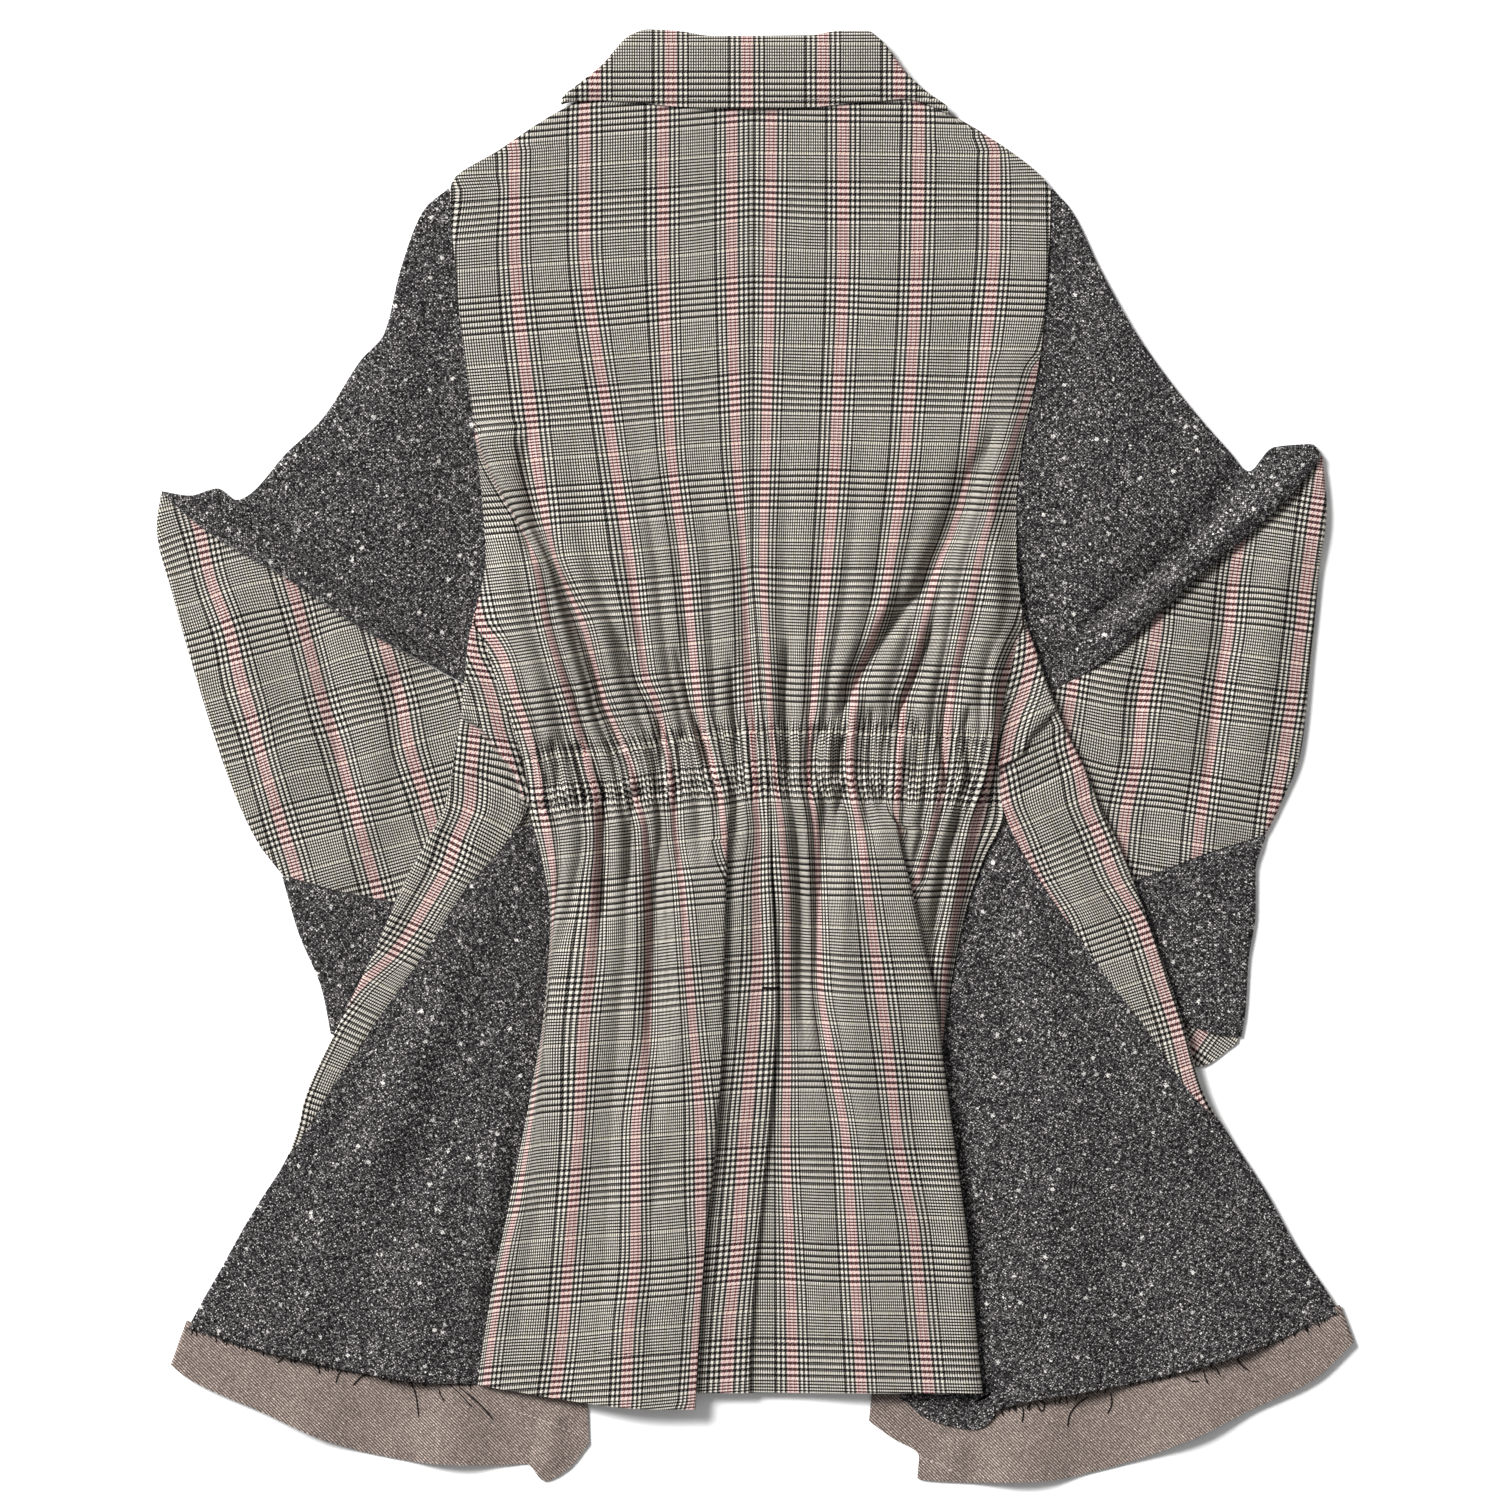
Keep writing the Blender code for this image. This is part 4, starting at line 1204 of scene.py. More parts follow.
    def relief(
        self, x: Array, y: Array, places: Array, cut: Array, clear: Array
    ) -> tuple[Array, Array, Array]:
        """Small relief over the whole panel.

        Args:
            x: Grid of places across the coat.
            y: Grid of heights on the coat.
            places: Grid of places on the cut cloth.
            cut: Width of the cut at each row.
            clear: 0 where layers lie on one another, 1 away from that.

        Returns:
            How far the cloth is lifted, how far it is pulled sideways, and how far its weft waves.
        """
        top, bottom, out = CASING_TOP(x), CASING_BOTTOM(x), self.side.out
        step, spare = self.casing_edge, cut - places
        inside = self.casing_draw * ease(bottom - step, bottom + step, y) * ease(top + step, top - step, y)
        drawn = self.top_draw(y - top) + self.bottom_draw(y - bottom) + inside
        phase = places / self.pucker_width + self.pucker_shift(places, y * self.pucker_run)
        wave = 2 * np.pi * (phase + self.pucker_offset * out)
        uneven = clear * (self.pucker_share + self.pucker_uneven(places, y))
        lift = self.pucker_height * drawn * uneven * np.cos(wave)
        lift = lift - self.top_groove(y - top) - self.bottom_groove(y - bottom)
        lift = lift + self.swell(x, y) + self.ripple(x, y) + crease_lift(self.creases, x, y)
        drape = places / self.gather_width + self.gather_shift(places, y * self.gather_run)
        drape = np.cos(np.pi * (drape + self.gather_offset * out)) ** 2
        reach = ease(*self.gather_top, y + self.gather_reach(places, 0)) * ease(*self.gather_bottom, y)
        gathers = 2 * np.sqrt(drape + self.gather_round) - self.gather_middle
        lift = lift + self.gather_height * clear * reach * ease(*self.gather_fade, spare) * gathers
        lift = lift + GATHERED_RISE(y) * ease(*self.rise_fade, spare)
        seam = ease(*self.seam_fade, y) * (self.seam_depth + self.waist_depth(y - self.waist))
        lift = lift - seam * bell(places / self.seam_half) - self.edge_groove(spare)
        about_waist = bell((y + self.sway_middle) / self.pull_reach)
        pull = self.pucker_pull * drawn * np.sin(wave) + self.side_pull(places, y) * about_waist
        pull = pull * clear * ease(*self.pull_fade, places) * ease(*self.pull_fade, spare)
        return lift, pull, self.pucker_wave * drawn * uneven * np.sin(wave + self.yarn_wave(places, y))

    def shell(self) -> Shell:
        """Shape the panel.

        Returns:
            Its wall.
        """
        rows = self.rows()
        out = self.side.out
        places = np.array([self.places(y) for y in rows])
        x = np.array([self.across(y, row) for y, row in zip(rows, places)])
        turned = ease(self.lap.start, self.lap.turned, rows)[:, None]
        layers = turned * np.array([self.lap.heights(y, row) for y, row in zip(rows, places)])
        cut = np.maximum(self.cut(rows), places[:, -1])[:, None]
        y = np.repeat(rows[:, None], places.shape[1], axis=1)
        y = y + self.hem(places) * ease(BACK_HEM + self.hem_reach, BACK_HEM, y)
        clear = np.array([self.lap.clear(y, row) for y, row in zip(rows, places)])
        lift, pull, waved = self.relief(x, y, places, cut, clear)
        x = x + out * pull
        z = arm_lift(x, y) + layers + self.lowest + soft_floor(BACK_LEVEL + lift - self.lowest)
        if self.side is Side.LEFT:
            raised = VENT_RISE * ease(*self.vent_lifts, y)
            z = z + raised * (1 - ease(self.lap.place(rows)[:, None] + self.vent_lap, cut, places))
        across = PINK_MIDDLE + out * (places - FIRST_STRIPE)
        about_waist = bell((y + self.sway_middle) / self.sway_reach)
        sway = waved + self.weft_sway(places, y) + self.waist_sway(places, y) * about_waist
        along = BOLD_BAR_HEIGHT + BOLD_BAR_MIDDLE - y - self.weft_slope * places + sway
        grid, cloth = np.stack([x, y, z], axis=-1), np.stack([across, along], axis=-1)
        return Shell(f"back_{self.side.word}_cloth", grid, cloth, SUITING)

    def build(self) -> Piece:
        """Make the panel and put it in the place of its solid."""
        piece = self.shell().build(CHECK.material())
        return dress(piece, f"back_{self.side.word}")


LEFT_BACK = BackPanel(
    side=Side.LEFT,
    seam=Curve({
        478: -3, 136: -3, 94: 0, 45: 4, 14: 7, -36: 10, -73: 10, -115: 12, -175: 14, -234: 11, -310: 4,
        -393: -3, -446: -5,
    }),
    edge=Curve({
        478: -62, 463: -112, 448: -142, 423: -180, 402: -212, 395: -214, 340: -210, 297: -206, 220: -196,
        136: -189, 94: -196, 77: -189, 45: -179, 14: -169, -11: -163, -36: -160, -73: -150, -115: -144,
        -175: -148, -234: -157, -310: -172, -393: -188, -446: -195,
    }),
    cut=Curve({
        478: 59, 463: 109, 448: 139, 423: 177, 402: 209, 395: 211, 340: 207, 297: 205, 236: 205, 217: 227,
        180: 241, 154: 251, 132: 258, 94: 271, 45: 281, -446: 281,
    }),
    marks=(
        Mark(14, Curve({
            478: -17, 367: -17, 220: -14, 136: -8.5, 38: -5, -9: -2, -33: -1, -53: 1, -90: 0, -140: 1,
            -190: -2, -267: -8, -344: -13, -402: -19, -446: -21,
        })),
        Mark(65, Curve({
            478: -65, 367: -65, 220: -60, 136: -50, 38: -40, -9: -30, -33: -24.5, -50: -22.6, -72: -20.5,
        })),
        Mark(116, Curve({
            448: -120, 367: -120, 220: -101, 136: -88, 80: -81, 55: -77, 36: -69, 17: -64.5, -9: -60,
            -33: -58, -53: -57, -90: -52, -140: -48, -190: -44, -267: -39, -344: -39, -402: -42, -446: -45,
        })),
        Mark(167, Curve({
            395: -169, 367: -169, 220: -155, 172: -148, 141: -142, 116: -132, 90: -120, 59: -112, 38: -106,
            -9: -87, -33: -83, -53: -78, -90: -76, -140: -75, -190: -76, -267: -84, -344: -84, -402: -89,
            -446: -91,
        })),
        Mark(206, Curve({
            217: -192.5, 199: -185.5, 180: -175.5, 165: -166.5, 154: -159, 132: -147.5, 94: -139.5,
            60: -129.5, 38: -122.5,
        })),
        Mark(218, Curve({
            217: -193.6, 199: -186.6, 180: -176.6, 165: -167.6, 154: -162, 132: -154, 94: -146.5, 60: -137,
            38: -130, 20: -125, -9: -117, -33: -111, -53: -110, -90: -112, -140: -115, -190: -120,
            -267: -124, -344: -130, -402: -135, -446: -141,
        })),
        Mark(226, Curve({
            217: -194.4, 199: -187.4, 180: -177.4, 165: -168.4, 154: -164, 132: -158, 94: -151, 60: -142,
            38: -135.5,
        })),
        Mark(246, Curve({
            160: -187, 132: -178, 94: -168, 60: -156, 38: -150, -33: -134, -60: -129, -97: -134, -143: -143,
            -212: -149, -267: -151, -344: -157, -446: -168,
        })),
        Mark(269, Curve({
            96: -185, 63: -174.5, 38: -167, 20: -160.5, -9: -153, -33: -150, -53: -146, -90: -141,
            -115: -142, -175: -146, -234: -154, -310: -166, -344: -174, -402: -184, -446: -189,
        })),
    ),
    lap=Lap(
        edge=Curve({-36: -19, -60: -20, -212: -24, -276: -28, -335: -35, -407: -40, -458: -43}),
        place=Curve({
            -40: 54, -50: 58, -60: 61.5, -72: 66, -90: 76, -140: 85, -190: 91, -267: 103, -344: 110,
            -446: 112,
        }),
        depth=Curve({-40: 1.5, -50: 3, -64: 7, -90: 17, -140: 23, -190: 27, -267: 35, -344: 38, -446: 39}),
        inner_on_top=False,
    ),
    creases=(
        Crease((
            (-163, 240), (-160, 205), (-150, 160), (-140, 138), (-134, 120), (-126, 97), (-115, 69),
            (-106, 36), (-97, 13), (-89, -6), (-84, -28),
        ), 6, -17, 0.5),
        Crease(((-200, 226), (-187, 199), (-177, 180), (-168, 165), (-160, 150), (-154, 128)), 6, -8, 0.5),
        Crease(((-126, 150), (-124, 126), (-111, 90), (-98, 46), (-88, 14)), 8, 3.0),
        Crease(((-100, 96), (-93, 78), (-86, 58), (-80, 43), (-68, 24), (-67, 6), (-65, -30)), 4, -9.6),
        Crease(((-58, 84), (-54, 66), (-47, 36), (-43, 23), (-39, 13), (-35, 0), (-30, -22)), 4, -9.6),
        Crease(((-18, 74), (-16, 40), (-14, 18), (-13, -18), (-15, -66)), 3.5, -7.6),
        Crease(((-143, 14), (-139, -8), (-137, -30)), 3.5, -7.6),
        Crease(((-127, 10), (-122, -12), (-112, -38)), 3.5, -7.6),
        Crease(((-109, -2), (-105, -26), (-108, -60), (-107, -130)), 4, -7.6),
        Crease(((-54, 20), (-53, -8), (-54, -32)), 3, -6.0),
        Crease((
            (-72, -20), (-69, -44), (-68, -60), (-70, -94), (-72, -140), (-71, -200), (-70, -280),
        ), 5, -11.2),
        Crease(((-86, -20), (-87, -50), (-89, -100)), 3.5, -6.8),
        Crease(((-137, -70), (-142, -120), (-151, -170), (-156, -230)), 5, -6.8),
        Crease(((-112, -60), (-118, -150), (-125, -250), (-134, -380)), 9, 2.0),
        Crease(((-94, -120), (-98, -220), (-104, -330), (-112, -440)), 8, -2.6),
        Crease(((-60, -250), (-74, -330), (-72, -440)), 8, -2.6),
        Crease(((-150, -300), (-160, -360), (-168, -430)), 8, -2.2),
        Crease(((-60, 420), (-58, 330), (-62, 250)), 14, -1.2),
        Crease(((-160, 380), (-150, 300), (-140, 220)), 12, -1.4),
    ),
    flat=Cut(0.285, 0.93, 0.232), hem=Curve({0: 0, 70: 0, 112: -11, 142: -11, 281: 6}), weft_slope=0.075,
)

RIGHT_BACK = BackPanel(
    side=Side.RIGHT,
    seam=Curve({478: -3, 136: -3, 94: 0, 45: 4, 14: 7, -40: 10, -73: 10, -115: 12, -446: 12}),
    edge=Curve({
        478: 62, 463: 110, 448: 136, 423: 177, 402: 202, 395: 206, 318: 203, 283: 199, 244: 192, 223: 187,
        201: 184, 178: 182, 136: 182, 94: 186, 77: 182, 45: 175, 14: 171, -15: 170, -40: 173, -73: 159,
        -115: 145, -175: 134, -210: 130, -263: 136, -344: 147, -446: 158,
    }),
    cut=Curve({
        478: 65, 463: 113, 448: 139, 423: 180, 402: 205, 395: 209, 318: 206, 283: 209, 271: 219, 251: 224,
        232: 228, 209: 231, 190: 233, 169: 238, 136: 247, 94: 262, 45: 276, 14: 280, -446: 280,
    }),
    marks=(
        Mark(14, Curve({
            478: 11, 367: 10, 220: 7, 136: 5, 45: 9, -10: 13, -52: 18, -113: 22, -159: 22, -206: 22,
            -270: 21, -332: 23, -395: 25, -446: 26,
        })),
        Mark(65, Curve({
            478: 61, 367: 61, 220: 56, 136: 50, 45: 41, -10: 37, -52: 42, -113: 44, -159: 45, -206: 52,
            -270: 63, -332: 67, -395: 71, -446: 74,
        })),
        Mark(116, Curve({
            448: 114, 367: 113, 220: 105, 136: 94, 107: 89, 83: 82, 45: 69, -10: 66, -52: 73, -113: 80,
            -159: 86, -206: 92, -270: 99, -332: 110, -395: 116, -446: 121,
        })),
        Mark(167, Curve({
            395: 167, 367: 167, 290: 161, 227: 152.6, 199: 148.4, 178: 144, 153: 136, 136: 129, 112: 122,
            59: 110, 36: 103, -10: 99, -40: 98, -62: 102,
        })),
        Mark(218, Curve({
            271: 196, 251: 190, 232: 183.5, 209: 176.4, 190: 169.4, 169: 164, 148: 158, 129: 154, 110: 150,
            59: 139, 33: 135, -10: 131, -52: 123, -84: 114,
        })),
        Mark(269, Curve({
            60: 176, 45: 172, -10: 164, -52: 152, -113: 139, -159: 132, -206: 129, -210: 127,
        })),
    ),
    lap=Lap(
        edge=Curve({
            -40: 96.5, -60: 100, -95: 109, -130: 117, -155: 123, -178: 127, -211: 131, -263: 138, -344: 149,
            -428: 157, -446: 159,
        }),
        place=Curve({-40: 158, -60: 152, -446: 152}),
        depth=Curve({-40: 1.5, -50: 4, -62: 10, -78: 22, -98: 36, -140: 50, -190: 57, -215: 61, -446: 62}),
        inner_on_top=True,
    ),
    creases=(
        Crease((
            (170, 240), (162, 212), (151, 192), (144, 171), (136, 153), (127, 136), (119, 120), (104, 102),
            (86, 78), (73, 56), (64, 38), (54, 22), (42, 10),
        ), 8, -15, 0.45),
        Crease(((118, 134), (92, 104), (72, 76), (60, 52), (52, 34)), 8, 3.0),
        Crease(((126, 96), (120, 80), (113, 62), (107, 47), (100, 30), (99, 15), (96, -10)), 4, -9.6),
        Crease(((44, 24), (41, 8), (40, 0), (41, -28)), 3.5, -7.6),
        Crease(((60, 16), (58, -2), (58, -20)), 3, -6.8),
        Crease(((82, 40), (80, 16), (80, 0), (80, -26)), 3.5, -7.6),
        Crease(((113, 30), (113, 12), (112, -6), (109, -30)), 3.5, -7.6),
        Crease(((136, 60), (131, 25), (130, 10), (131, -10), (133, -34)), 3.5, -7.6),
        Crease(((150, 40), (146, 20), (147, 0), (149, -34)), 3.5, -7.6),
        Crease(((24, 90), (19, 40), (20, 16), (22, -10), (23, -30)), 3.5, -6.8),
        Crease(((44, -12), (47, -32), (46, -62), (45, -105), (44, -160), (46, -230)), 5, -11.2),
        Crease(((26, -30), (29, -70), (31, -120), (34, -210)), 6, -7.6),
        Crease(((62, -20), (57, -40), (55, -70)), 4, -6.8),
        Crease(((148, -30), (134, -65), (126, -105), (122, -150)), 5, -7.6),
        Crease(((60, -70), (66, -150), (76, -250), (86, -340)), 9, 2.0),
        Crease(((104, -160), (112, -250), (124, -340), (134, -430)), 9, -2.6),
        Crease(((50, -200), (56, -300), (60, -420)), 8, -2.4),
        Crease(((134, -230), (142, -300), (150, -380)), 7, 1.6),
        Crease(((60, 420), (62, 330), (58, 250)), 14, -1.2),
        Crease(((150, 380), (146, 300), (132, 220)), 12, -1.4),
    ),
    flat=Cut(0.318, 0.93, 0.243), hem=Curve({-34: 0, 152: 0, 215: 4, 280: 4}), weft_slope=0.012,
)


@dataclass(frozen=True)
class SideLine:
    """The side of the coat, where cloth folds from the underside to the back.

    Attributes:
        side: Which side it is.
        centre: How far the front reaches inwards, by height.
        fold: Where the fold is across the coat, by height.
        strip: How far the front comes round the fold on to the back, by height.
    """

    side: Side
    centre: Curve
    fold: Curve
    strip: Curve

    @property
    def radius(self) -> float:
        """Radius of the fold."""
        return (BACK_LEVEL - FRONT_LEVEL) / 2

    @property
    def quarter(self) -> float:
        """Length of a quarter turn of the fold."""
        return self.radius * np.pi / 2

    def points(self, y: Array, around: Array) -> Array:
        """Places by how far round the fold they are, minus under and plus on the back.

        Args:
            y: Heights on the coat.
            around: How far round the fold.

        Returns:
            The places.
        """
        angle = np.clip(around, -self.quarter, self.quarter) / self.radius
        flat = np.maximum(np.abs(around) - self.quarter, 0)
        x = self.fold(y) - self.side.out * (self.radius - self.radius * np.cos(angle) + flat)
        z = FRONT_LEVEL + self.radius + self.radius * np.sin(angle) + arm_lift(x, y)
        return np.stack([x, np.broadcast_to(y, x.shape).astype(float), z], axis=-1)


LEFT_SIDE = SideLine(
    side=Side.LEFT,
    centre=Curve({448: -112, 423: -99, 395: -88, 340: -64, 297: -42, 250: -8, 220: 18, -402: 20}),
    fold=Curve({
        448: -142, 423: -180, 395: -214, 340: -210, 297: -206, 250: -200, 220: -196, 136: -190, 115: -192,
        94: -198, 77: -201, 45: -204, 14: -208, -11: -212, -36: -217, -60: -230, -95: -248, -139: -267,
        -190: -292, -244: -316, -258: -319, -272: -323.5, -290: -332, -311: -346, -332: -360, -374: -384,
        -402: -398,
    }),
    strip=Curve({
        448: -4, 115: -4, 94: 0, 77: 13, 45: 26, 14: 40, -11: 50, -36: 58, -60: 57, -95: 45, -139: 36,
        -190: 25, -244: 14, -258: 8.5, -272: 4, -290: -5, -311: -14, -332: -26, -374: -54, -402: -74,
    }),
)
RIGHT_SIDE = SideLine(
    side=Side.RIGHT,
    centre=Curve({448: 110, 423: 97, 395: 86, 318: 52, 283: 30, 250: 8, 220: -18, -402: -20}),
    fold=Curve({
        448: 137, 423: 178, 395: 206, 318: 203, 283: 199, 250: 193, 223: 187, 201: 184, 136: 182, 115: 183,
        94: 188, 77: 194, 45: 205, 14: 218, -11: 230, -36: 240, -60: 252, -95: 266, -139: 282, -190: 299,
        -230: 310, -244: 316, -258: 325, -272: 334, -290: 346, -332: 373, -374: 400, -402: 412,
    }),
    strip=Curve({
        448: -4, 115: -4, 94: 0, 77: 13, 45: 31, 14: 48, -11: 61, -36: 68, -60: 71, -95: 64, -139: 49,
        -190: 29, -230: 12, -244: 6, -258: 0, -272: -6, -290: -15, -332: -40, -374: -68, -402: -84,
    }),
)


@dataclass
class FrontPanel:
    """A front, along the floor from its centre edge and round the side to its seam on the back."""

    line: SideLine
    overlaps: bool
    creases: tuple[Crease, ...]
    stripe: Curve
    stripe_above: Curve
    tuck: Curve
    flat: Cut
    row_step: float = 5.0
    tuck_step: float = 1.25
    hem_rows: int = 9
    heights: tuple[float, float, float, float] = (448, 50, -44, -400)
    columns: tuple[int, int, int] = (34, 14, 34)
    lean_reach: float = 30
    turn_reach: float = 8
    underlap: tuple[Point, Point] = ((-120, -50), (300, 255))
    hem_lift: float = 30
    hem_rise: Point = (0.2, 1)
    back_from: Point = (2.0, 14.0)
    swell: Waver = Waver(0.7, 34, 41)
    seam_groove: Hump = Hump(0.6, 2.2)
    seam_fade: Point = (0, 8)
    lip: float = 2.6
    lip_rise: Point = (-0.6, 0.6)
    lip_from: Point = (-1, 3)
    lip_fade: Point = (5, 50)
    tuck_groove: Hump = Hump(1.2, 3)

    def shell(self) -> Shell:
        """Shape the front.

        Returns:
            Its wall.
        """
        line, out = self.line, self.line.side.out
        top, tuck_top, tuck_bottom, low = self.heights
        rows = np.concatenate([
            np.arange(top, tuck_top, -self.row_step), np.arange(tuck_top, tuck_bottom, -self.tuck_step),
            np.arange(tuck_bottom, low, -self.row_step), np.linspace(low, FRONT_HEM, self.hem_rows),
        ])
        grid, cloth = [], []
        near = np.linspace(-self.lean_reach, self.lean_reach, 9)
        lean = np.gradient(np.mean([line.fold(rows + step) for step in near], axis=0), rows)
        run = np.concatenate([[0], np.cumsum(np.hypot(np.diff(line.fold(rows)), np.diff(rows)))])
        for y, slope, length in zip(rows, lean, run):
            at = float(max(y, low))
            strip = float(line.strip(at)) - SEAM_GAP
            inner = -(abs(float(line.fold(at)) - float(line.centre(at))) - line.radius + line.quarter)
            turn = min(line.quarter, max(strip - 1, -line.quarter - self.turn_reach))
            back = min(-line.quarter, strip - self.turn_reach)
            around = np.concatenate([
                np.linspace(inner, back, self.columns[0])[:-1],
                np.linspace(back, turn, self.columns[1]),
                np.linspace(turn, strip, self.columns[2])[1:],
            ])
            points = line.points(np.full(len(around), at), around)
            if self.overlaps:
                across, along = self.underlap
                under = ease(*across, -out * points[:, 0]) * ease(*along, at)
                points[:, 2] += (OVERLAP_LEVEL - FRONT_LEVEL) * under
            if y < low:
                share = (around - around[0]) / (around[-1] - around[0])
                hem = FRONT_HEM + self.hem_lift * ease(*self.hem_rise, share)
                points[:, 1] = at + (hem - at) * (y - low) / (FRONT_HEM - low)
            tilt = np.arctan(abs(slope))
            on_back = ease(*self.back_from, around)
            points[:, 2] += on_back * crease_lift(self.creases, points[:, 0], points[:, 1])
            points[:, 2] += on_back * self.swell(points[:, 0], points[:, 1])
            points[:, 2] -= self.seam_groove(strip - around) * ease(*self.seam_fade, strip)
            over = at - self.tuck(points[:, 0])
            raised = ease(*self.lip_rise, over)
            lip = self.lip * ease(*self.lip_from, around) * (1 - ease(*self.lip_fade, over))
            points[:, 2] += lip * raised
            points[:, 2] -= on_back * self.tuck_groove(over + self.tuck_groove.half)
            grid.append(points)
            stripe = self.stripe(at) + (self.stripe_above(at) - self.stripe(at)) * raised
            u = PINK_MIDDLE - out * (around * np.cos(tilt) - stripe)
            cloth.append(np.stack([u, length - around * np.sin(tilt)], axis=-1))
        return Shell(f"front_{line.side.word}_cloth", np.array(grid), np.array(cloth), SUITING)

    def build(self) -> Piece:
        """Make the front and put it in the place of its solid."""
        piece = self.shell().build(CHECK.material())
        return dress(piece, f"front_{self.line.side.word}")


LEFT_FRONT = FrontPanel(
    LEFT_SIDE, True,
    creases=(
        Crease(((-196, 40), (-180, 6), (-166, -20)), 6, 2.0),
        Crease(((-200, -12), (-184, -22), (-168, -30)), 5, -1.8),
        Crease(((-176, -8), (-190, -50), (-214, -110)), 7, 1.6),
        Crease(((-206, -40), (-232, -95), (-256, -150)), 6, -1.5),
    ),
    stripe=Curve({17: 12, -14: 14, -30: 16, -53: 18.4, -85: 23, -117: 19, -139: 13, -165: 0, -190: -6}),
    stripe_above=Curve({140: -10, 77: 3, 51: 16, 35: 22.5, 17: 29, -8: 40, -30: 48}),
    tuck=Curve({-216: 32, -195: 20, -185.5: 9, -176: -3.5, -169: -14, -162: -36}),
    flat=Cut(0.33, 0.9, 0.242),
)
RIGHT_FRONT = FrontPanel(
    RIGHT_SIDE, False,
    creases=(
        Crease(((200, 40), (190, 6), (178, -20)), 6, 2.0),
        Crease(((222, 0), (205, -16), (184, -28)), 5, -1.8),
        Crease(((190, -20), (214, -70), (244, -130)), 7, 1.6),
        Crease(((214, -40), (244, -95), (272, -150)), 6, -1.5),
    ),
    stripe=Curve({20: -4, 4: 2, -17: 6, -40: 10, -82: 12, -120: 6, -162: 7, -230: 7}),
    stripe_above=Curve({140: -70, 67: -45, 45: -33.5, 23.5: -18.5, 4: -6, -10: 2}),
    tuck=Curve({218: 34, 207: 30, 202: 23.5, 192: 14, 187.5: 2, 172: -8}), flat=Cut(0.34, 0.9, 0.247),
)


@dataclass(frozen=True)
class Flute:
    """A soft wave: its place as a share of the way, its half width and its height."""

    place: float
    half: float
    height: float

    def lift(self, share: Array) -> Array:
        """Height at shares of the way."""
        return self.height * (1 + np.cos(np.pi * np.clip(np.abs(share - self.place) / self.half, 0, 1))) / 2


@dataclass
class Godet:
    """A tweed wedge between a front's strip and the back skirt, turned under at the side."""

    line: SideLine
    back: BackPanel
    raw_edge: Curve
    creases: tuple[Crease, ...]
    flat: Cut
    lowest: float
    lobe: float = 0.0
    sink: float = 2.2
    apex: float = -50
    blend_from: float = -300
    flutes: tuple[Flute, ...] = (Flute(0.30, 0.22, 5.0), Flute(0.74, 0.2, 6.0))
    rows: int = 100
    columns: tuple[int, int] = (34, 70)
    seam_lap: float = 0.2
    back_lap: float = 3.0
    back_from: Point = (-60, -110)
    lobe_from: Point = (20, 8)
    turn_share: float = 0.45
    flutes_from: Point = (-90, -380)
    seam_groove: Hump = Hump(2.6, 9)
    fold_from: Point = (2.0, 14.0)
    swell: Waver = Waver(0.9, 48, 51)
    grain: float = 12

    def shell(self) -> Shell:
        """Shape the wedge.

        Returns:
            Its wall.
        """
        line, out = self.line, self.line.side.out
        grid, room = [], []
        for y in np.linspace(self.apex, self.lowest, self.rows):
            fold = float(line.fold(y))
            first = float(line.strip(y)) + self.seam_lap
            sunk = float(ease(self.blend_from, self.lowest, y))
            below = float(self.raw_edge(self.back.edge(BACK_HEM))) - self.lowest
            seam_y = max(y + below * sunk, BACK_HEM)
            seam = float(self.back.edge(seam_y)) - out * self.back_lap * float(ease(*self.back_from, y))
            meets = line.quarter + abs(fold - seam) - line.radius
            last = meets + self.lobe * float(ease(*self.lobe_from, y - self.lowest))
            turn = max(line.quarter, first + min(2 * line.quarter, self.turn_share * (meets - first)))
            around = np.concatenate([
                np.linspace(first, turn, self.columns[0])[:-1], np.linspace(turn, last, self.columns[1])
            ])
            points = line.points(np.full(len(around), float(y)), around)
            share = (around - turn) / (meets - turn)
            fluted = sum(flute.lift(share) for flute in self.flutes)
            points[:, 2] += float(ease(*self.flutes_from, y)) * fluted
            points[:, 1] += (self.raw_edge(points[:, 0]) - self.lowest) * sunk
            away = np.maximum(meets - around, 0)
            points[:, 2] -= self.seam_groove(away)
            grid.append(points)
            room.append(ease(*self.fold_from, around) * (1 - bell(away / self.seam_groove.half)))
        grid = np.array(grid)
        x, y = grid[..., 0], grid[..., 1]
        folds = crease_lift(self.creases, x, y) + self.swell(x, y)
        grid[..., 2] += np.array(room) * (soft_floor(folds + self.sink) - self.sink)
        cloth = np.stack(on_grain(x, y, self.grain * out), axis=-1)
        return Shell(f"godet_{line.side.word}_tweed", grid, cloth, TWEED)

    def build(self) -> Piece:
        """Make the wedge and put it in the place of its solid."""
        piece = self.shell().build(TWEED_CLOTH.material())
        return dress(piece, f"godet_{self.line.side.word}")


LEFT_RAW_EDGE = ((-195, -440), (-228, -439), (-277, -432), (-340, -418), (-398, -401))
RIGHT_RAW_EDGE = ((159, -456), (172, -457), (255, -441), (332, -422), (408, -390))
RIGHT_LOBE = ((104, -451), (117, -463), (138, -470), (154, -472), (162, -468), (168, -460))
LEFT_GODET = Godet(
    LEFT_SIDE, LEFT_BACK, Curve(dict(LEFT_RAW_EDGE)),
    creases=(
        Crease(((-170, -80), (-190, -170), (-205, -280), (-215, -400)), 12, -4.4),
        Crease(((-200, -110), (-240, -220), (-270, -330)), 14, 3.7),
        Crease(((-260, -180), (-300, -290), (-330, -390)), 12, -3.4),
        Crease(((-175, -230), (-185, -320), (-200, -420)), 9, 3.7),
    ),
    flat=Cut(0.3, 0.4, 0.062), lowest=-401,
)
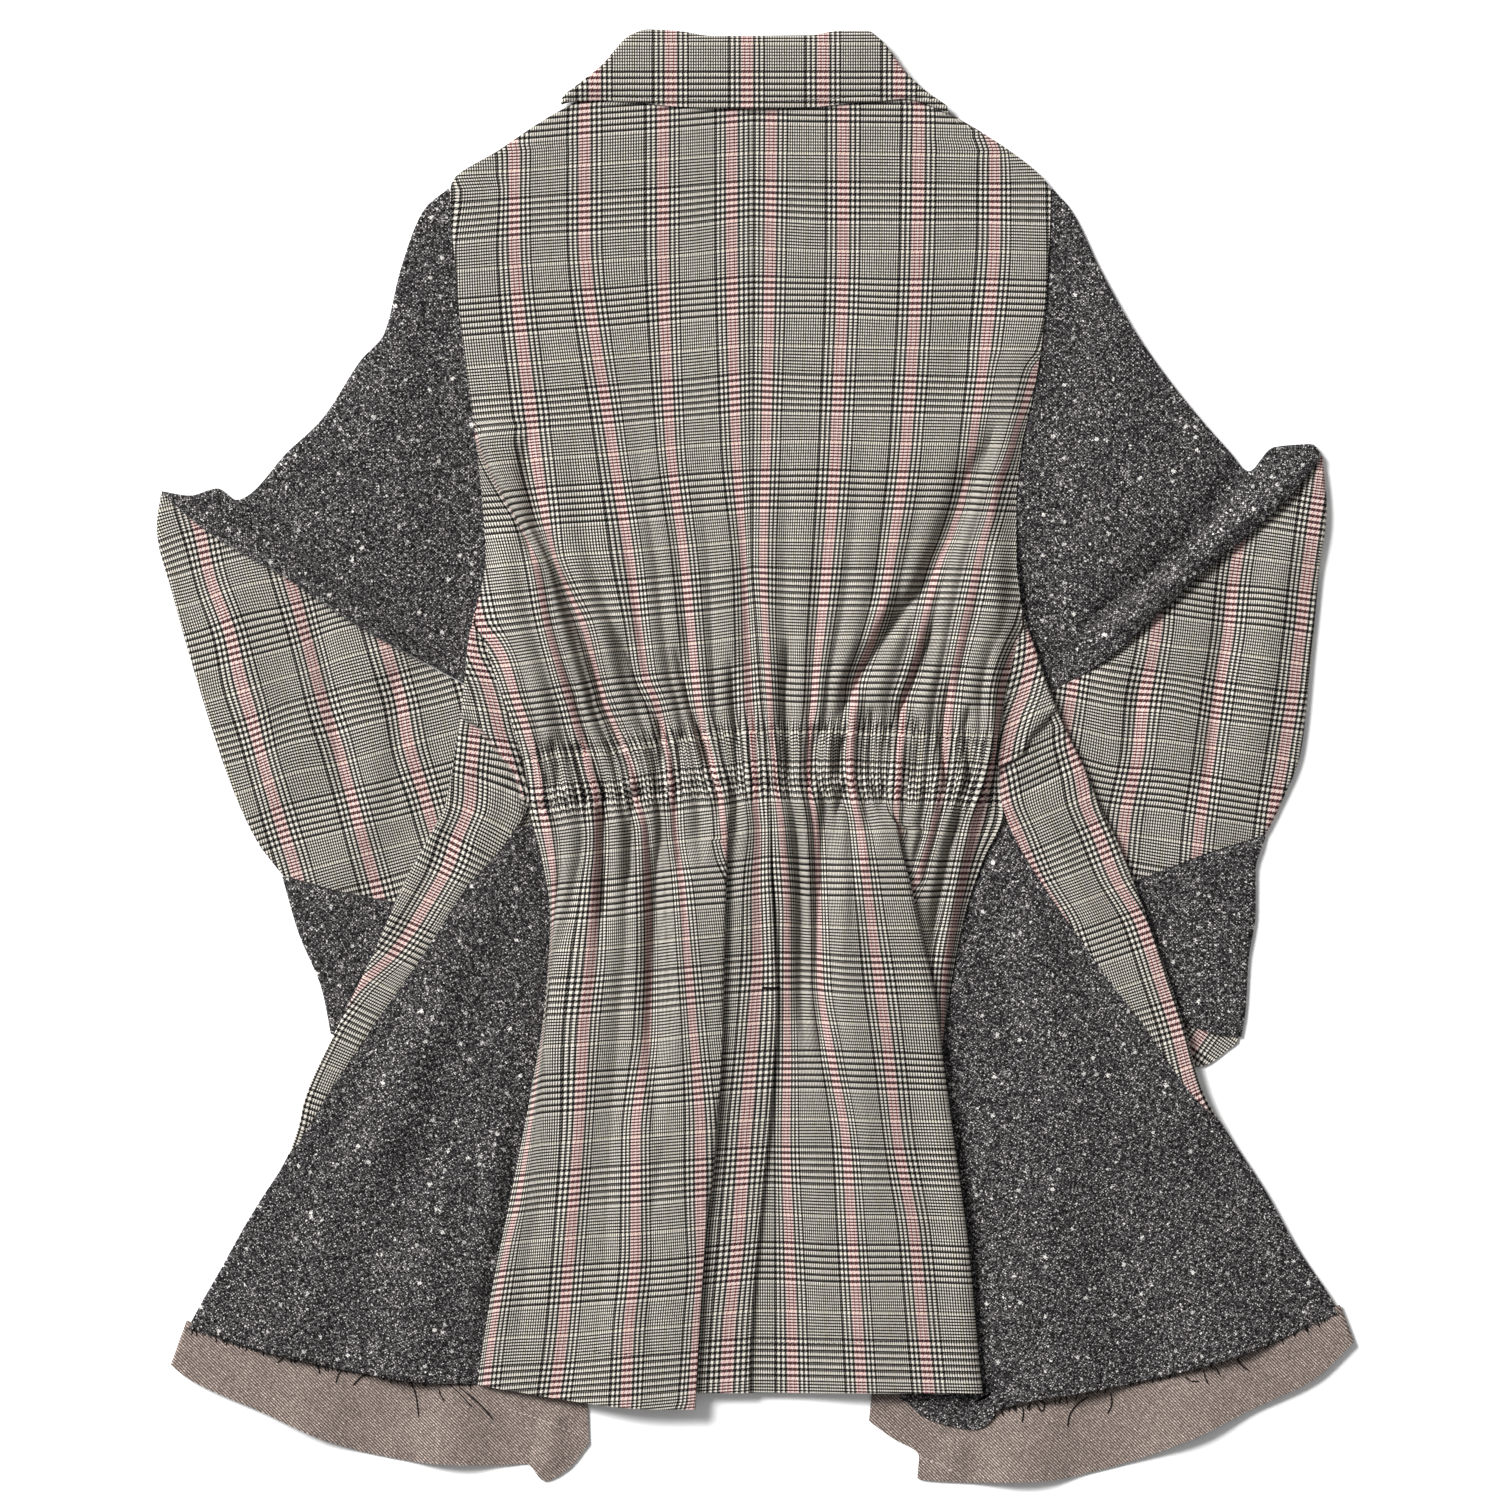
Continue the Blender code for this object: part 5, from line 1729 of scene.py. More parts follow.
RIGHT_GODET = Godet(
    RIGHT_SIDE, RIGHT_BACK, Curve(dict(RIGHT_LOBE + RIGHT_RAW_EDGE[1:])),
    creases=(
        Crease(((172, -80), (168, -170), (172, -280), (190, -400)), 12, -4.4),
        Crease(((190, -100), (210, -220), (236, -340)), 14, 3.7),
        Crease(((220, -150), (270, -260), (310, -370)), 12, -3.4),
        Crease(((160, -240), (176, -330), (190, -430)), 9, 3.4),
    ),
    flat=Cut(0.33, 0.41, 0.075), lowest=-390, lobe=54,
)


@dataclass
class HemBand:
    """A hem band below a godet, from under the corner, round it and along to its inner end."""

    side: Side
    raw_edge: Line
    end: Point
    hem: Line
    creases: tuple[Crease, ...]
    flat: Cut
    tuck: float = 5.0
    under: float = 0.16
    level: float = 0.75
    top: float = 4.15
    waves: tuple[Flute, ...] = (Flute(0.34, 0.14, 6.0), Flute(0.66, 0.12, 7.0))
    count: int = 170
    across: int = 30
    under_count: int = 16
    turn_count: int = 11
    settles: Point = (0.03, 0.2)
    wave_share: float = 0.25
    ripple: Waver = Waver(1.0, 22, 61)
    ripple_half: float = 0.5
    ripple_from: Point = (0.2, 0.3)

    def shell(self) -> Shell:
        """Shape the band.

        Returns:
            Its wall.
        """
        upper_line = [(x, y + self.tuck) for x, y in (self.end, *self.raw_edge)][::-1]
        lower_line = self.hem[::-1]
        radius = (self.top - self.level) / 2
        length = sum(np.hypot(b[0] - a[0], b[1] - a[1]) for a, b in zip(upper_line, upper_line[1:]))
        start = radius / length
        down = np.linspace(0, 1, self.across)
        angles = np.linspace(-90, 90, self.turn_count)
        turn = [(angle, start * (1 - np.cos(np.radians(angle)))) for angle in angles]
        steps = [(-90, share) for share in np.linspace(self.under, start, self.under_count)[:-1]] + turn
        steps += [(90, share) for share in np.linspace(start, 1, self.count)[1:]]
        grid = []
        for angle, share in steps:
            upper, lower = along_line(upper_line, [share]), along_line(lower_line, [share])
            line = upper + (lower - upper) * down[:, None]
            level = np.full(len(down), self.level + radius + radius * np.sin(np.radians(angle)))
            if angle == 90:
                level -= (self.top - self.level) * ease(*self.settles, share - self.under)
                waves = sum(wave.lift(share) for wave in self.waves)
                level += waves * (self.wave_share + (1 - self.wave_share) * down)
                ripple = self.ripple_half * (1 + self.ripple(line[:, 0], line[:, 1]))
                level += ripple * ease(*self.ripple_from, share) * down
            grid.append(np.column_stack([line, level]))
        grid = np.array(grid)
        x, y = grid[..., 0], grid[..., 1]
        grid[..., 2] = np.maximum(grid[..., 2] + crease_lift(self.creases, x, y), self.level)
        return Shell(f"hem_band_{self.side.word}_twill", grid, np.stack([x, y], axis=-1), TWEED)

    def build(self) -> Piece:
        """Make the band and put it in the place of its solid."""
        piece = self.shell().build(BAND_CLOTH.material())
        return dress(piece, f"hem_band_{self.side.word}")


LEFT_BAND = HemBand(
    Side.LEFT, LEFT_RAW_EDGE, (-118, -452),
    hem=(
        (-117, -482), (-132, -500), (-148, -508), (-161, -496), (-180, -497), (-221, -496), (-263, -490),
        (-302, -479), (-347, -459), (-396, -437), (-409, -427),
    ),
    creases=(
        Crease(((-164, -450), (-165, -475), (-162, -500)), 5, -2.5),
        Crease(((-140, -455), (-142, -480), (-146, -505)), 8, 2.5),
    ),
    flat=Cut(0.345, 0.075, 0.0185),
)
RIGHT_BAND = HemBand(
    Side.RIGHT, RIGHT_RAW_EDGE, (81, -452),
    hem=(
        (79, -466), (94, -477), (114, -491), (113, -506), (157, -509), (199, -508), (242, -500),
        (304, -479), (346, -458), (390, -437), (418, -411),
    ),
    creases=(
        Crease(((118, -460), (116, -480), (114, -505)), 6, -2.5),
        Crease(((140, -476), (140, -490), (138, -508)), 9, 2.0),
    ),
    flat=Cut(0.375, 0.075, 0.02),
)


def coons(upper: Line, lower: Line, outer: Line, inner: Line, over: Array, down: float) -> Array:
    """Points inside four edges.

    Args:
        upper: The upper edge, from the outer corner to the inner one.
        lower: The lower edge, the same way.
        outer: The outer edge, downwards.
        inner: The inner edge, downwards.
        over: Shares of the way over, from the outer edge.
        down: Share of the way down.

    Returns:
        The points.
    """
    top, bottom = along_line(upper, over), along_line(lower, over)
    left, right = along_line(outer, [down])[0], along_line(inner, [down])[0]
    ends = [along_line(edge, [0, 1]) for edge in (upper, lower)]
    over = np.asarray(over)[:, None]
    corners = (1 - over) * (1 - down) * ends[0][0] + over * (1 - down) * ends[0][1]
    corners = corners + (1 - over) * down * ends[1][0] + over * down * ends[1][1]
    return (1 - down) * top + down * bottom + (1 - over) * left + over * right - corners


@dataclass(frozen=True)
class Tier:
    """One tier of a sleeve.

    Its edges run downwards and its lower seam from the outer corner. Its crown is the height of its upper
    layer at the top and at the bottom.
    """

    part: str
    outer: Line
    inner: Line
    lower: Line
    crown: Point
    flat: Cut
    rows: int
    creases: tuple[Crease, ...] = ()

    @property
    def is_tweed(self) -> bool:
        """Whether the tier is cut in tweed."""
        return self.part != "middle"


@dataclass
class Sleeve:
    """A sleeve of three tiers, each a flattened tube with its under layer on the floor."""

    side: SideLine
    back: BackPanel
    tiers: tuple[Tier, ...]
    grain: float
    stripe: float
    bar: float
    roll: Curve
    roll_grain: float
    overlap: float = 3.0
    edge_round: float = 3.0
    top_columns: int = 84
    under_columns: int = 22
    rim: tuple[float, ...] = (0, 0.08, 0.25, 0.5, 0.8)
    side_clear: Point = (14, 55)
    puff: float = 0.25
    seam_sunk: float = 1.4
    seam_lap: float = 2.0
    sunk_until: float = 0.05
    lower_groove: float = 0.5
    lower_from: Point = (0.975, 1)
    least_room: float = 1.8
    least_gap: float = 2.6
    swell: Waver = Waver(0.8, 40, 71)
    warp_sway: Waver = Waver(2.0, 42, 23)
    weft_sway: Waver = Waver(2.2, 36, 24)
    seam_ends: Point = (SHOULDER - 8, UNDERARM + 20)
    seam_count: int = 20

    def height(self, tier: Tier, over: Array, down: float, clear: Array) -> Array:
        """Height of the upper layer above its flat level.

        Args:
            tier: The tier.
            over: Shares of the way over it.
            down: Share of the way down it.
            clear: 0 where the side of the coat lies on it, rising to 1 away from that.

        Returns:
            The heights.
        """
        crown = tier.crown[0] + (tier.crown[1] - tier.crown[0]) * down
        puff = 1 - self.puff + self.puff * np.sin(np.pi * over)
        return (crown * puff - SLEEVE_FLAT) * clear

    def tube(self, upper: Line, tier: Tier, sunk: float) -> Shell:
        """One tier's wall.

        Args:
            upper: Its upper seam, from the outer corner.
            tier: The tier.
            sunk: How far its upper edge lies under the tier above.

        Returns:
            The wall.
        """
        out = self.side.side.out
        grid = []
        for down in np.linspace(0, 1, tier.rows):
            ends = coons(upper, tier.lower, tier.outer, tier.inner, np.array([0, 1]), down)
            edge = self.edge_round / np.linalg.norm(ends[1] - ends[0])
            rim = edge * np.array(self.rim)
            over = np.concatenate([rim, np.linspace(edge, 1 - edge, self.top_columns), 1 - rim[::-1]])
            back = np.linspace(1 - edge, edge, self.under_columns)
            back = np.concatenate([1 - rim[1:], back, rim[:0:-1]])
            top = coons(upper, tier.lower, tier.outer, tier.inner, over, down)
            bottom = coons(upper, tier.lower, tier.outer, tier.inner, back, down)
            x, y = top.T
            clear = ease(*self.side_clear, out * (x - self.side.fold(y)))
            level = SLEEVE_FLAT + self.height(tier, over, down, clear)
            level += clear * (crease_lift(tier.creases, x, y) + self.swell(x, y))
            level -= sunk * (1 - ease(0, self.sunk_until, down))
            level -= self.lower_groove * ease(*self.lower_from, down)
            level = np.maximum(level, SLEEVE_FLOOR + self.least_room)
            middle = (SLEEVE_FLOOR + self.least_gap) / 2

            def rounded(share: Array) -> Array:
                """How round the tube's edge is at shares of the way over."""
                return np.sqrt(1 - (1 - np.minimum(share, 1 - share) / edge).clip(0, 1) ** 2)

            upper_z = middle + (level - middle) * rounded(over)
            under_z = middle - (middle - SLEEVE_FLOOR) * rounded(back)
            layers = np.column_stack([top, upper_z]), np.column_stack([bottom, under_z])
            grid.append(np.concatenate(layers))
        grid = np.array(grid)
        x, y = grid[..., 0], grid[..., 1]
        grain = 0.0 if tier.is_tweed else self.grain
        if tier.part == "upper":
            grain = np.where(y < self.roll(x), self.roll_grain, grain)
        across, along = on_grain(x, y, grain)
        across = across - self.stripe + PINK_MIDDLE + self.warp_sway(x, y)
        along = self.bar + BOLD_BAR_MIDDLE - along + self.weft_sway(x, y)
        name = f"sleeve_{self.side.side.word}_{tier.part}_cloth"
        wall = TWEED if tier.is_tweed else SUITING
        return Shell(name, grid, np.stack([across, along], axis=-1), wall, tube=True)

    def build(self) -> list[Piece]:
        """Make the tiers and put them in the place of their solids.

        Returns:
            The new pieces.
        """
        out = self.side.side.out
        heights = np.linspace(*self.seam_ends, self.seam_count)
        upper = [(float(self.back.edge(y)) - out * self.overlap, float(y)) for y in heights]
        upper = [self.tiers[0].outer[0]] + upper + [self.tiers[0].inner[0]]
        pieces = []
        for tier in self.tiers:
            finish, slot = (TWEED_CLOTH, Slot.TWEED) if tier.is_tweed else (CHECK, Slot.CHECK)
            sunk = 0.0 if tier.part == "upper" else self.seam_sunk
            piece = self.tube(upper, tier, sunk).build(finish.material())
            pieces.append(dress(piece, f"sleeve_{self.side.side.word}_{tier.part}"))
            upper = [(x, y + self.seam_lap) for x, y in tier.lower]
        return pieces


LEFT_SLEEVE = Sleeve(
    LEFT_SIDE, LEFT_BACK,
    tiers=(
        Tier(
            "upper",
            outer=(
                (-215, 396), (-232, 381), (-248, 340), (-260, 294), (-276, 276), (-303, 235), (-326, 213),
                (-364, 178), (-377, 186), (-396, 181), (-416, 184),
            ),
            inner=((-174, 104), (-184, 80), (-196, 46)),
            lower=((-416, 184), (-381, 155), (-326, 123), (-288, 97), (-234, 66), (-196, 46)),
            crown=(7.0, 11.0), flat=Cut(0.33, 0.34, 0.0725), rows=120,
            creases=(
                Crease((
                    (-400, 200), (-366, 179), (-335, 152), (-313, 137), (-285, 114), (-263, 100),
                    (-240, 82), (-205, 58),
                ), 4, -11.0, 2.6),
                Crease((
                    (-420, 186), (-395, 174), (-350, 148), (-320, 127), (-290, 107), (-262, 88), (-225, 66),
                ), 9, 5.0),
                Crease(((-225, 330), (-245, 270), (-280, 210)), 14, 2.0),
                Crease(((-200, 200), (-230, 150), (-250, 110)), 12, -2.0),
            ),
        ),
        Tier(
            "middle",
            outer=(
                (-416, 183), (-419, 160), (-407, 109), (-389, 46), (-368, -18), (-349, -60), (-331, -84),
            ),
            inner=((-196, 45), (-193, 10), (-191, -31), (-192, -73), (-198, -113)),
            lower=((-331, -84), (-292, -95), (-252, -103), (-198, -113)), crown=(8.5, 6.5),
            flat=Cut(0.4, 0.29, 0.082), rows=90,
            creases=(
                Crease(((-380, 130), (-350, 40), (-320, -50)), 12, 3.0),
                Crease(((-318, 118), (-300, 60), (-292, 0), (-276, -60)), 10, -4.5),
                Crease(((-252, 72), (-250, 10), (-254, -60)), 9, -4.0),
            ),
        ),
        Tier(
            "cuff", outer=((-331, -85), (-320, -123), (-303, -165), (-297, -195)),
            inner=((-198, -114), (-211, -157), (-232, -206)),
            lower=((-297, -195), (-263, -203), (-232, -206)), crown=(6.5, 4.5),
            flat=Cut(0.23, 0.13, 0.0225), rows=44,
        ),
    ),
    grain=15.5, stripe=-332.8, bar=107.3,
    roll=Curve({
        -420: 220, -372: 190, -366: 179, -335: 152, -313: 137, -285: 114, -263: 100, -240: 82, -190: 46,
    }),
    roll_grain=-37,
)
RIGHT_SLEEVE = Sleeve(
    RIGHT_SIDE, RIGHT_BACK,
    tiers=(
        Tier(
            "upper",
            outer=(
                (207, 396), (220, 381), (240, 340), (264, 297), (294, 255), (330, 213), (345, 198),
                (363, 215), (389, 217), (395, 210),
            ),
            inner=((164, 104), (178, 80), (197, 41)),
            lower=((395, 210), (376, 185), (350, 160), (315, 131), (272, 91), (240, 64), (197, 41)),
            crown=(7.0, 11.0), flat=Cut(0.33, 0.35, 0.0745), rows=120,
            creases=(
                Crease((
                    (360, 225), (344, 200), (323, 169), (297, 141), (267, 115), (239, 93), (200, 60),
                ), 11, -11.0, 0.36),
                Crease((
                    (396, 216), (364, 183), (338, 162), (312, 138), (282, 111), (248, 83), (215, 56),
                ), 9, 5.0),
                Crease(((220, 330), (245, 270), (285, 210)), 14, 2.0),
                Crease(((196, 200), (226, 150), (246, 110)), 12, -2.0),
            ),
        ),
        Tier(
            "middle",
            outer=((396, 209), (399, 172), (394, 130), (388, 67), (381, 3), (365, -38), (356, -56)),
            inner=((197, 40), (199, 10), (201, -31), (206, -73), (214, -105)),
            lower=((356, -56), (320, -67), (270, -86), (214, -105)), crown=(8.5, 6.5),
            flat=Cut(0.38, 0.28, 0.077), rows=90,
            creases=(
                Crease(((372, 170), (356, 60), (344, -30)), 12, 3.0),
                Crease(((334, 140), (322, 40), (312, -50)), 10, -4.5),
                Crease(((270, 70), (262, 0), (280, -70)), 9, -4.0),
            ),
        ),
        Tier(
            "cuff", outer=((356, -57), (349, -81), (349, -109), (344, -144), (342, -178), (339, -197)),
            inner=((214, -106), (227, -157), (245, -200)),
            lower=((339, -197), (321, -195), (302, -189), (245, -200)), crown=(6.5, 4.5),
            flat=Cut(0.25, 0.15, 0.03), rows=44,
        ),
    ),
    grain=-8.0, stripe=365.3, bar=82.5,
    roll=Curve({190: 50, 239: 93, 267: 115, 297: 141, 323: 169, 344: 200, 352: 240, 420: 300}),
    roll_grain=40,
)


@dataclass
class CuffFacing:
    """The turned facing of check that shows below the right cuff, flat on the floor."""

    upper: Line = ((338, -196.6), (321, -194.5), (302, -189.3), (262, -197.1))
    outer: Line = ((338, -196.6), (337, -201), (335, -203))
    inner: Line = ((262, -197.1), (264, -212), (266, -221))
    lower: Line = ((335, -203), (311, -218), (266, -221))
    flat: Cut = Cut(0.080, 0.032, 0.0018)
    level: float = 0.7
    lift: float = 0.5
    ripple: Waver = Waver(1.0, 14, 81)
    grain: float = -35
    cloth_place: Point = (-355, 20)
    columns: int = 50
    rows: int = 24

    def build(self) -> Piece:
        """Make the facing and put it in the place of its solid.

        Returns:
            The new piece.
        """
        over, down = np.linspace(0, 1, self.columns), np.linspace(0, 1, self.rows)
        edges = self.upper, self.lower, self.outer, self.inner
        plan = np.array([coons(*edges, over, share) for share in down])
        x, y = plan[..., 0], plan[..., 1]
        z = self.level + self.lift * (1 + self.ripple(x, y)) * down[:, None]
        cloth = np.stack(on_grain(x, y, self.grain), axis=-1) + self.cloth_place
        shell = Shell("cuff_facing_right_cloth", np.dstack([plan, z]), cloth, SUITING)
        return dress(shell.build(CHECK.material()), "cuff_facing_right")


@dataclass
class Collar:
    """The collar: its stand from the neck seam up to the roll, and its fall turned down over the back."""

    roll: Curve = Curve({
        -137: 457, -133: 462, -124: 469, -108: 482, -88: 503, -76: 507, -55: 506, -30: 502.5, 38: 503,
        58: 506, 78: 506, 88: 499, 104: 478, 120: 463, 131: 455.5, 136: 451.5,
    })
    fall: Curve = Curve({
        -137: 454.5, -133: 456, -124: 457.5, -108: 458, -88: 456.5, -76: 455.5, -55: 453.5, -30: 452.5,
        0: 452, 38: 453, 58: 455, 78: 456.5, 88: 457.5, 104: 459, 120: 455, 131: 450, 136: 448,
    })
    neck: Curve = Curve({
        -137: 455, -133: 458.5, -124: 463, -108: 468, -88: 473, -76: 476, -55: 480, -30: 481, 38: 481,
        58: 479.5, 78: 475.5, 88: 473, 104: 468, 120: 458, 131: 452, 136: 448.8,
    })
    left: float = -136
    right: float = 134
    stand: float = 3.4
    top: float = 9.0
    first_stripe: float = -6.3
    stripe_spread: float = 53.2
    bar_height: float = 479
    flat: Cut = Cut(0.262, 0.085, 0.0185)
    columns: int = 220
    rows: tuple[int, int, int] = (10, 15, 34)
    roll_share: float = 0.9
    drop: float = 1.2
    edge_drop: float = 0.5
    edge_from: Point = (0.93, 1)
    middle: float = 0.5
    middle_lift: Hump = Hump(0.7, 0.35)
    ripple: Waver = Waver(0.35, 30, 91)
    stitch_line: float = 4.6
    stitch_groove: Hump = Hump(0.5, 0.9)

    def build(self) -> Piece:
        """Make the collar and put it in the place of its solid.

        Returns:
            The new piece.
        """
        radius = (self.top - self.stand) / 2
        grid, cloth = [], []
        stand, turn, fallen = self.rows
        angles = np.linspace(-np.pi / 2, np.pi / 2, turn)
        down = np.linspace(0, 1, fallen)[1:]
        drop = self.drop * down + self.edge_drop * ease(*self.edge_from, down)
        drop = drop - self.middle_lift(down - self.middle)
        for x in np.linspace(self.left, self.right, self.columns):
            roll, fall, neck = (float(line(x)) for line in (self.roll, self.fall, self.neck))
            room = min(radius, (roll - neck) * self.roll_share)
            lying = np.linspace(roll - room, fall, fallen)[1:]
            y = np.concatenate([
                np.linspace(neck, roll - room, stand)[:-1], roll - room + room * np.cos(angles), lying,
            ])
            level = self.top - drop + self.ripple(np.full(len(lying), x), lying)
            level -= self.stitch_groove(lying - fall - self.stitch_line)
            z = np.concatenate([
                np.full(stand - 1, self.stand), self.stand + radius + radius * np.sin(angles), level,
            ])
            run = np.concatenate([[0], np.cumsum(np.hypot(np.diff(y), np.diff(z)))])
            grid.append(np.column_stack([np.full(len(y), x), y, z]))
            across = PINK_MIDDLE + (x - self.first_stripe) * STRIPE_REPEAT / self.stripe_spread
            turned = run - run[-1] + self.bar_height - fall
            cloth.append(np.column_stack([np.full(len(y), across), turned + WEFT_REPEAT * WEFT_PITCH]))
        shell = Shell("collar_cloth", np.array(grid), np.array(cloth), SUITING)
        return dress(shell.build(CHECK.material()), "collar")


class Surface:
    """The upper surface of finished pieces, to lay threads on."""

    def __init__(self, pieces: Sequence[Piece]) -> None:
        """Gather the pieces' faces.

        Args:
            pieces: The pieces of cloth.
        """
        points: list[tuple[float, float, float]] = []
        faces: list[tuple[int, ...]] = []
        for piece in pieces:
            before = len(points)
            points += [tuple(vertex.co) for vertex in piece.data.vertices]
            faces += [tuple(index + before for index in face.vertices) for face in piece.data.polygons]
        self.tree = BVHTree.FromPolygons(points, faces)

    def height(self, x: float, y: float) -> float:
        """Height of the uppermost cloth at a place, or of the floor."""
        hit = self.tree.ray_cast(Vector((x * METRES, y * METRES, CAST_FROM)), Vector((0, 0, -1)))[0]
        return hit.z / METRES if hit else 0.0


@dataclass
class Threads:
    """Threads of one finish, laid on the cloth and gathered into one piece."""

    name: str
    finish: SewingThread
    radius: float = 0.28
    sides: int = 6
    taper: float = 0.45
    stitch_step: float = 0.45
    stitch_sink: float = 0.25
    points: list[Array] = field(default_factory=list)
    faces: list[tuple[int, ...]] = field(default_factory=list)
    count: int = 0

    def lay(self, path: Array, radius: float | None = None) -> None:
        """Add one thread along a path.

        Args:
            path: Its points.
            radius: Its radius, where it isn't the usual one.
        """
        radius = radius or self.radius
        run = np.gradient(path, axis=0)
        run /= np.maximum(np.linalg.norm(run, axis=1, keepdims=True), SHORTEST)
        side = np.cross(run, [0.0, 0.0, 1.0])
        side /= np.maximum(np.linalg.norm(side, axis=1, keepdims=True), SHORTEST)
        up = np.cross(side, run)
        taper = np.ones(len(path))
        taper[[0, -1]] = self.taper
        angles = np.linspace(0, 2 * np.pi, self.sides, endpoint=False)
        ring = side[:, None] * np.cos(angles)[None, :, None] + up[:, None] * np.sin(angles)[None, :, None]
        points = path[:, None] + radius * taper[:, None, None] * ring
        first = self.count
        self.points.append(points.reshape(-1, 3))
        for k in range(len(path) - 1):
            for s in range(self.sides):
                t = (s + 1) % self.sides
                low, high = first + k * self.sides, first + (k + 1) * self.sides
                self.faces.append((low + s, high + s, high + t, low + t))
        last = first + (len(path) - 1) * self.sides
        self.faces.append(tuple(first + s for s in range(self.sides)))
        self.faces.append(tuple(last + s for s in reversed(range(self.sides))))
        self.count += points.shape[0] * self.sides

    def on(self, surface: Surface, plan: Line, step: float = 1.2, above: float = 0.15) -> Array:
        """A smooth path over a surface through given places.

        Args:
            surface: What it lies on.
            plan: The places.
            step: About how far apart the path's points are.
            above: How far its middle is above the surface.

        Returns:
            The path's points.
        """
        length = np.linalg.norm(np.diff(np.asarray(plan, float), axis=0), axis=1).sum()
        places = along_line(plan, np.linspace(0, 1, max(4, int(length / step))))
        return np.array([(x, y, surface.height(x, y) + above) for x, y in places])

    def sew(self, surface: Surface, plan: Line, stitch: float = 2.8, gap: float = 0.7) -> None:
        """Add a row of stitches along given places.

        Args:
            surface: What they are sewn on.
            plan: The places.
            stitch: Length of a stitch.
            gap: Length of cloth between two stitches.
        """
        path = self.on(surface, plan, step=self.stitch_step, above=0.05)
        each, rest = int(stitch / self.stitch_step), int(round((stitch + gap) / self.stitch_step))
        for start in range(0, len(path) - each, rest):
            part = path[start : start + each + 1].copy()
            part[[0, -1], 2] -= self.stitch_sink
            if part[:, 2].min() > self.radius:
                self.lay(part)

    def build(self, slot: Slot) -> Piece:
        """Make the threads' mesh and hang it on the frame.

        Args:
            slot: Not used.

        Returns:
            The new piece.
        """
        mesh = bpy.data.meshes.new(self.name)
        mesh.from_pydata((np.concatenate(self.points) * METRES).tolist(), [], self.faces)
        mesh.shade_smooth()
        mesh.materials.append(self.finish.material())
        piece = put(self.name, mesh)
        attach(piece, "root")
        LOG.info("%s: %d faces", piece.name, len(mesh.polygons))
        return piece


@dataclass(frozen=True)
class Fringe:
    """Short ends of yarn along both raw edges.

    Attributes:
        count: How many there are on each edge.
        ends: Shares of the edge that they lie between.
        reach: How far they reach past it, at least and at most.
        lean: How far aside they go at most.
        start: How far inside the edge they begin.
        bend: Where they bend: a share of the lean, and how far inside the edge.
        above: How far they lie above the cloth.
    """

    count: int
    ends: Point
    reach: Point
    lean: float
    start: float
    bend: Point
    above: float

    def lay(self, threads: Threads, surface: Surface, draw: np.random.Generator) -> None:
        """Add the ends to threads, drawn by chance.

        Args:
            threads: What they are added to.
            surface: What they lie on.
            draw: Where chance comes from.
        """
        for edge in (LEFT_RAW_EDGE, RIGHT_RAW_EDGE):
            for share in draw.uniform(*self.ends, self.count):
                x, y = along_line(edge, [share])[0]
                reach, lean = draw.uniform(*self.reach), draw.uniform(-self.lean, self.lean)
                bend = x + self.bend[0] * lean, y + self.bend[1]
                plan = (x, y + self.start), bend, (x + lean, y - reach)
                threads.lay(threads.on(surface, plan, step=1.0, above=self.above))


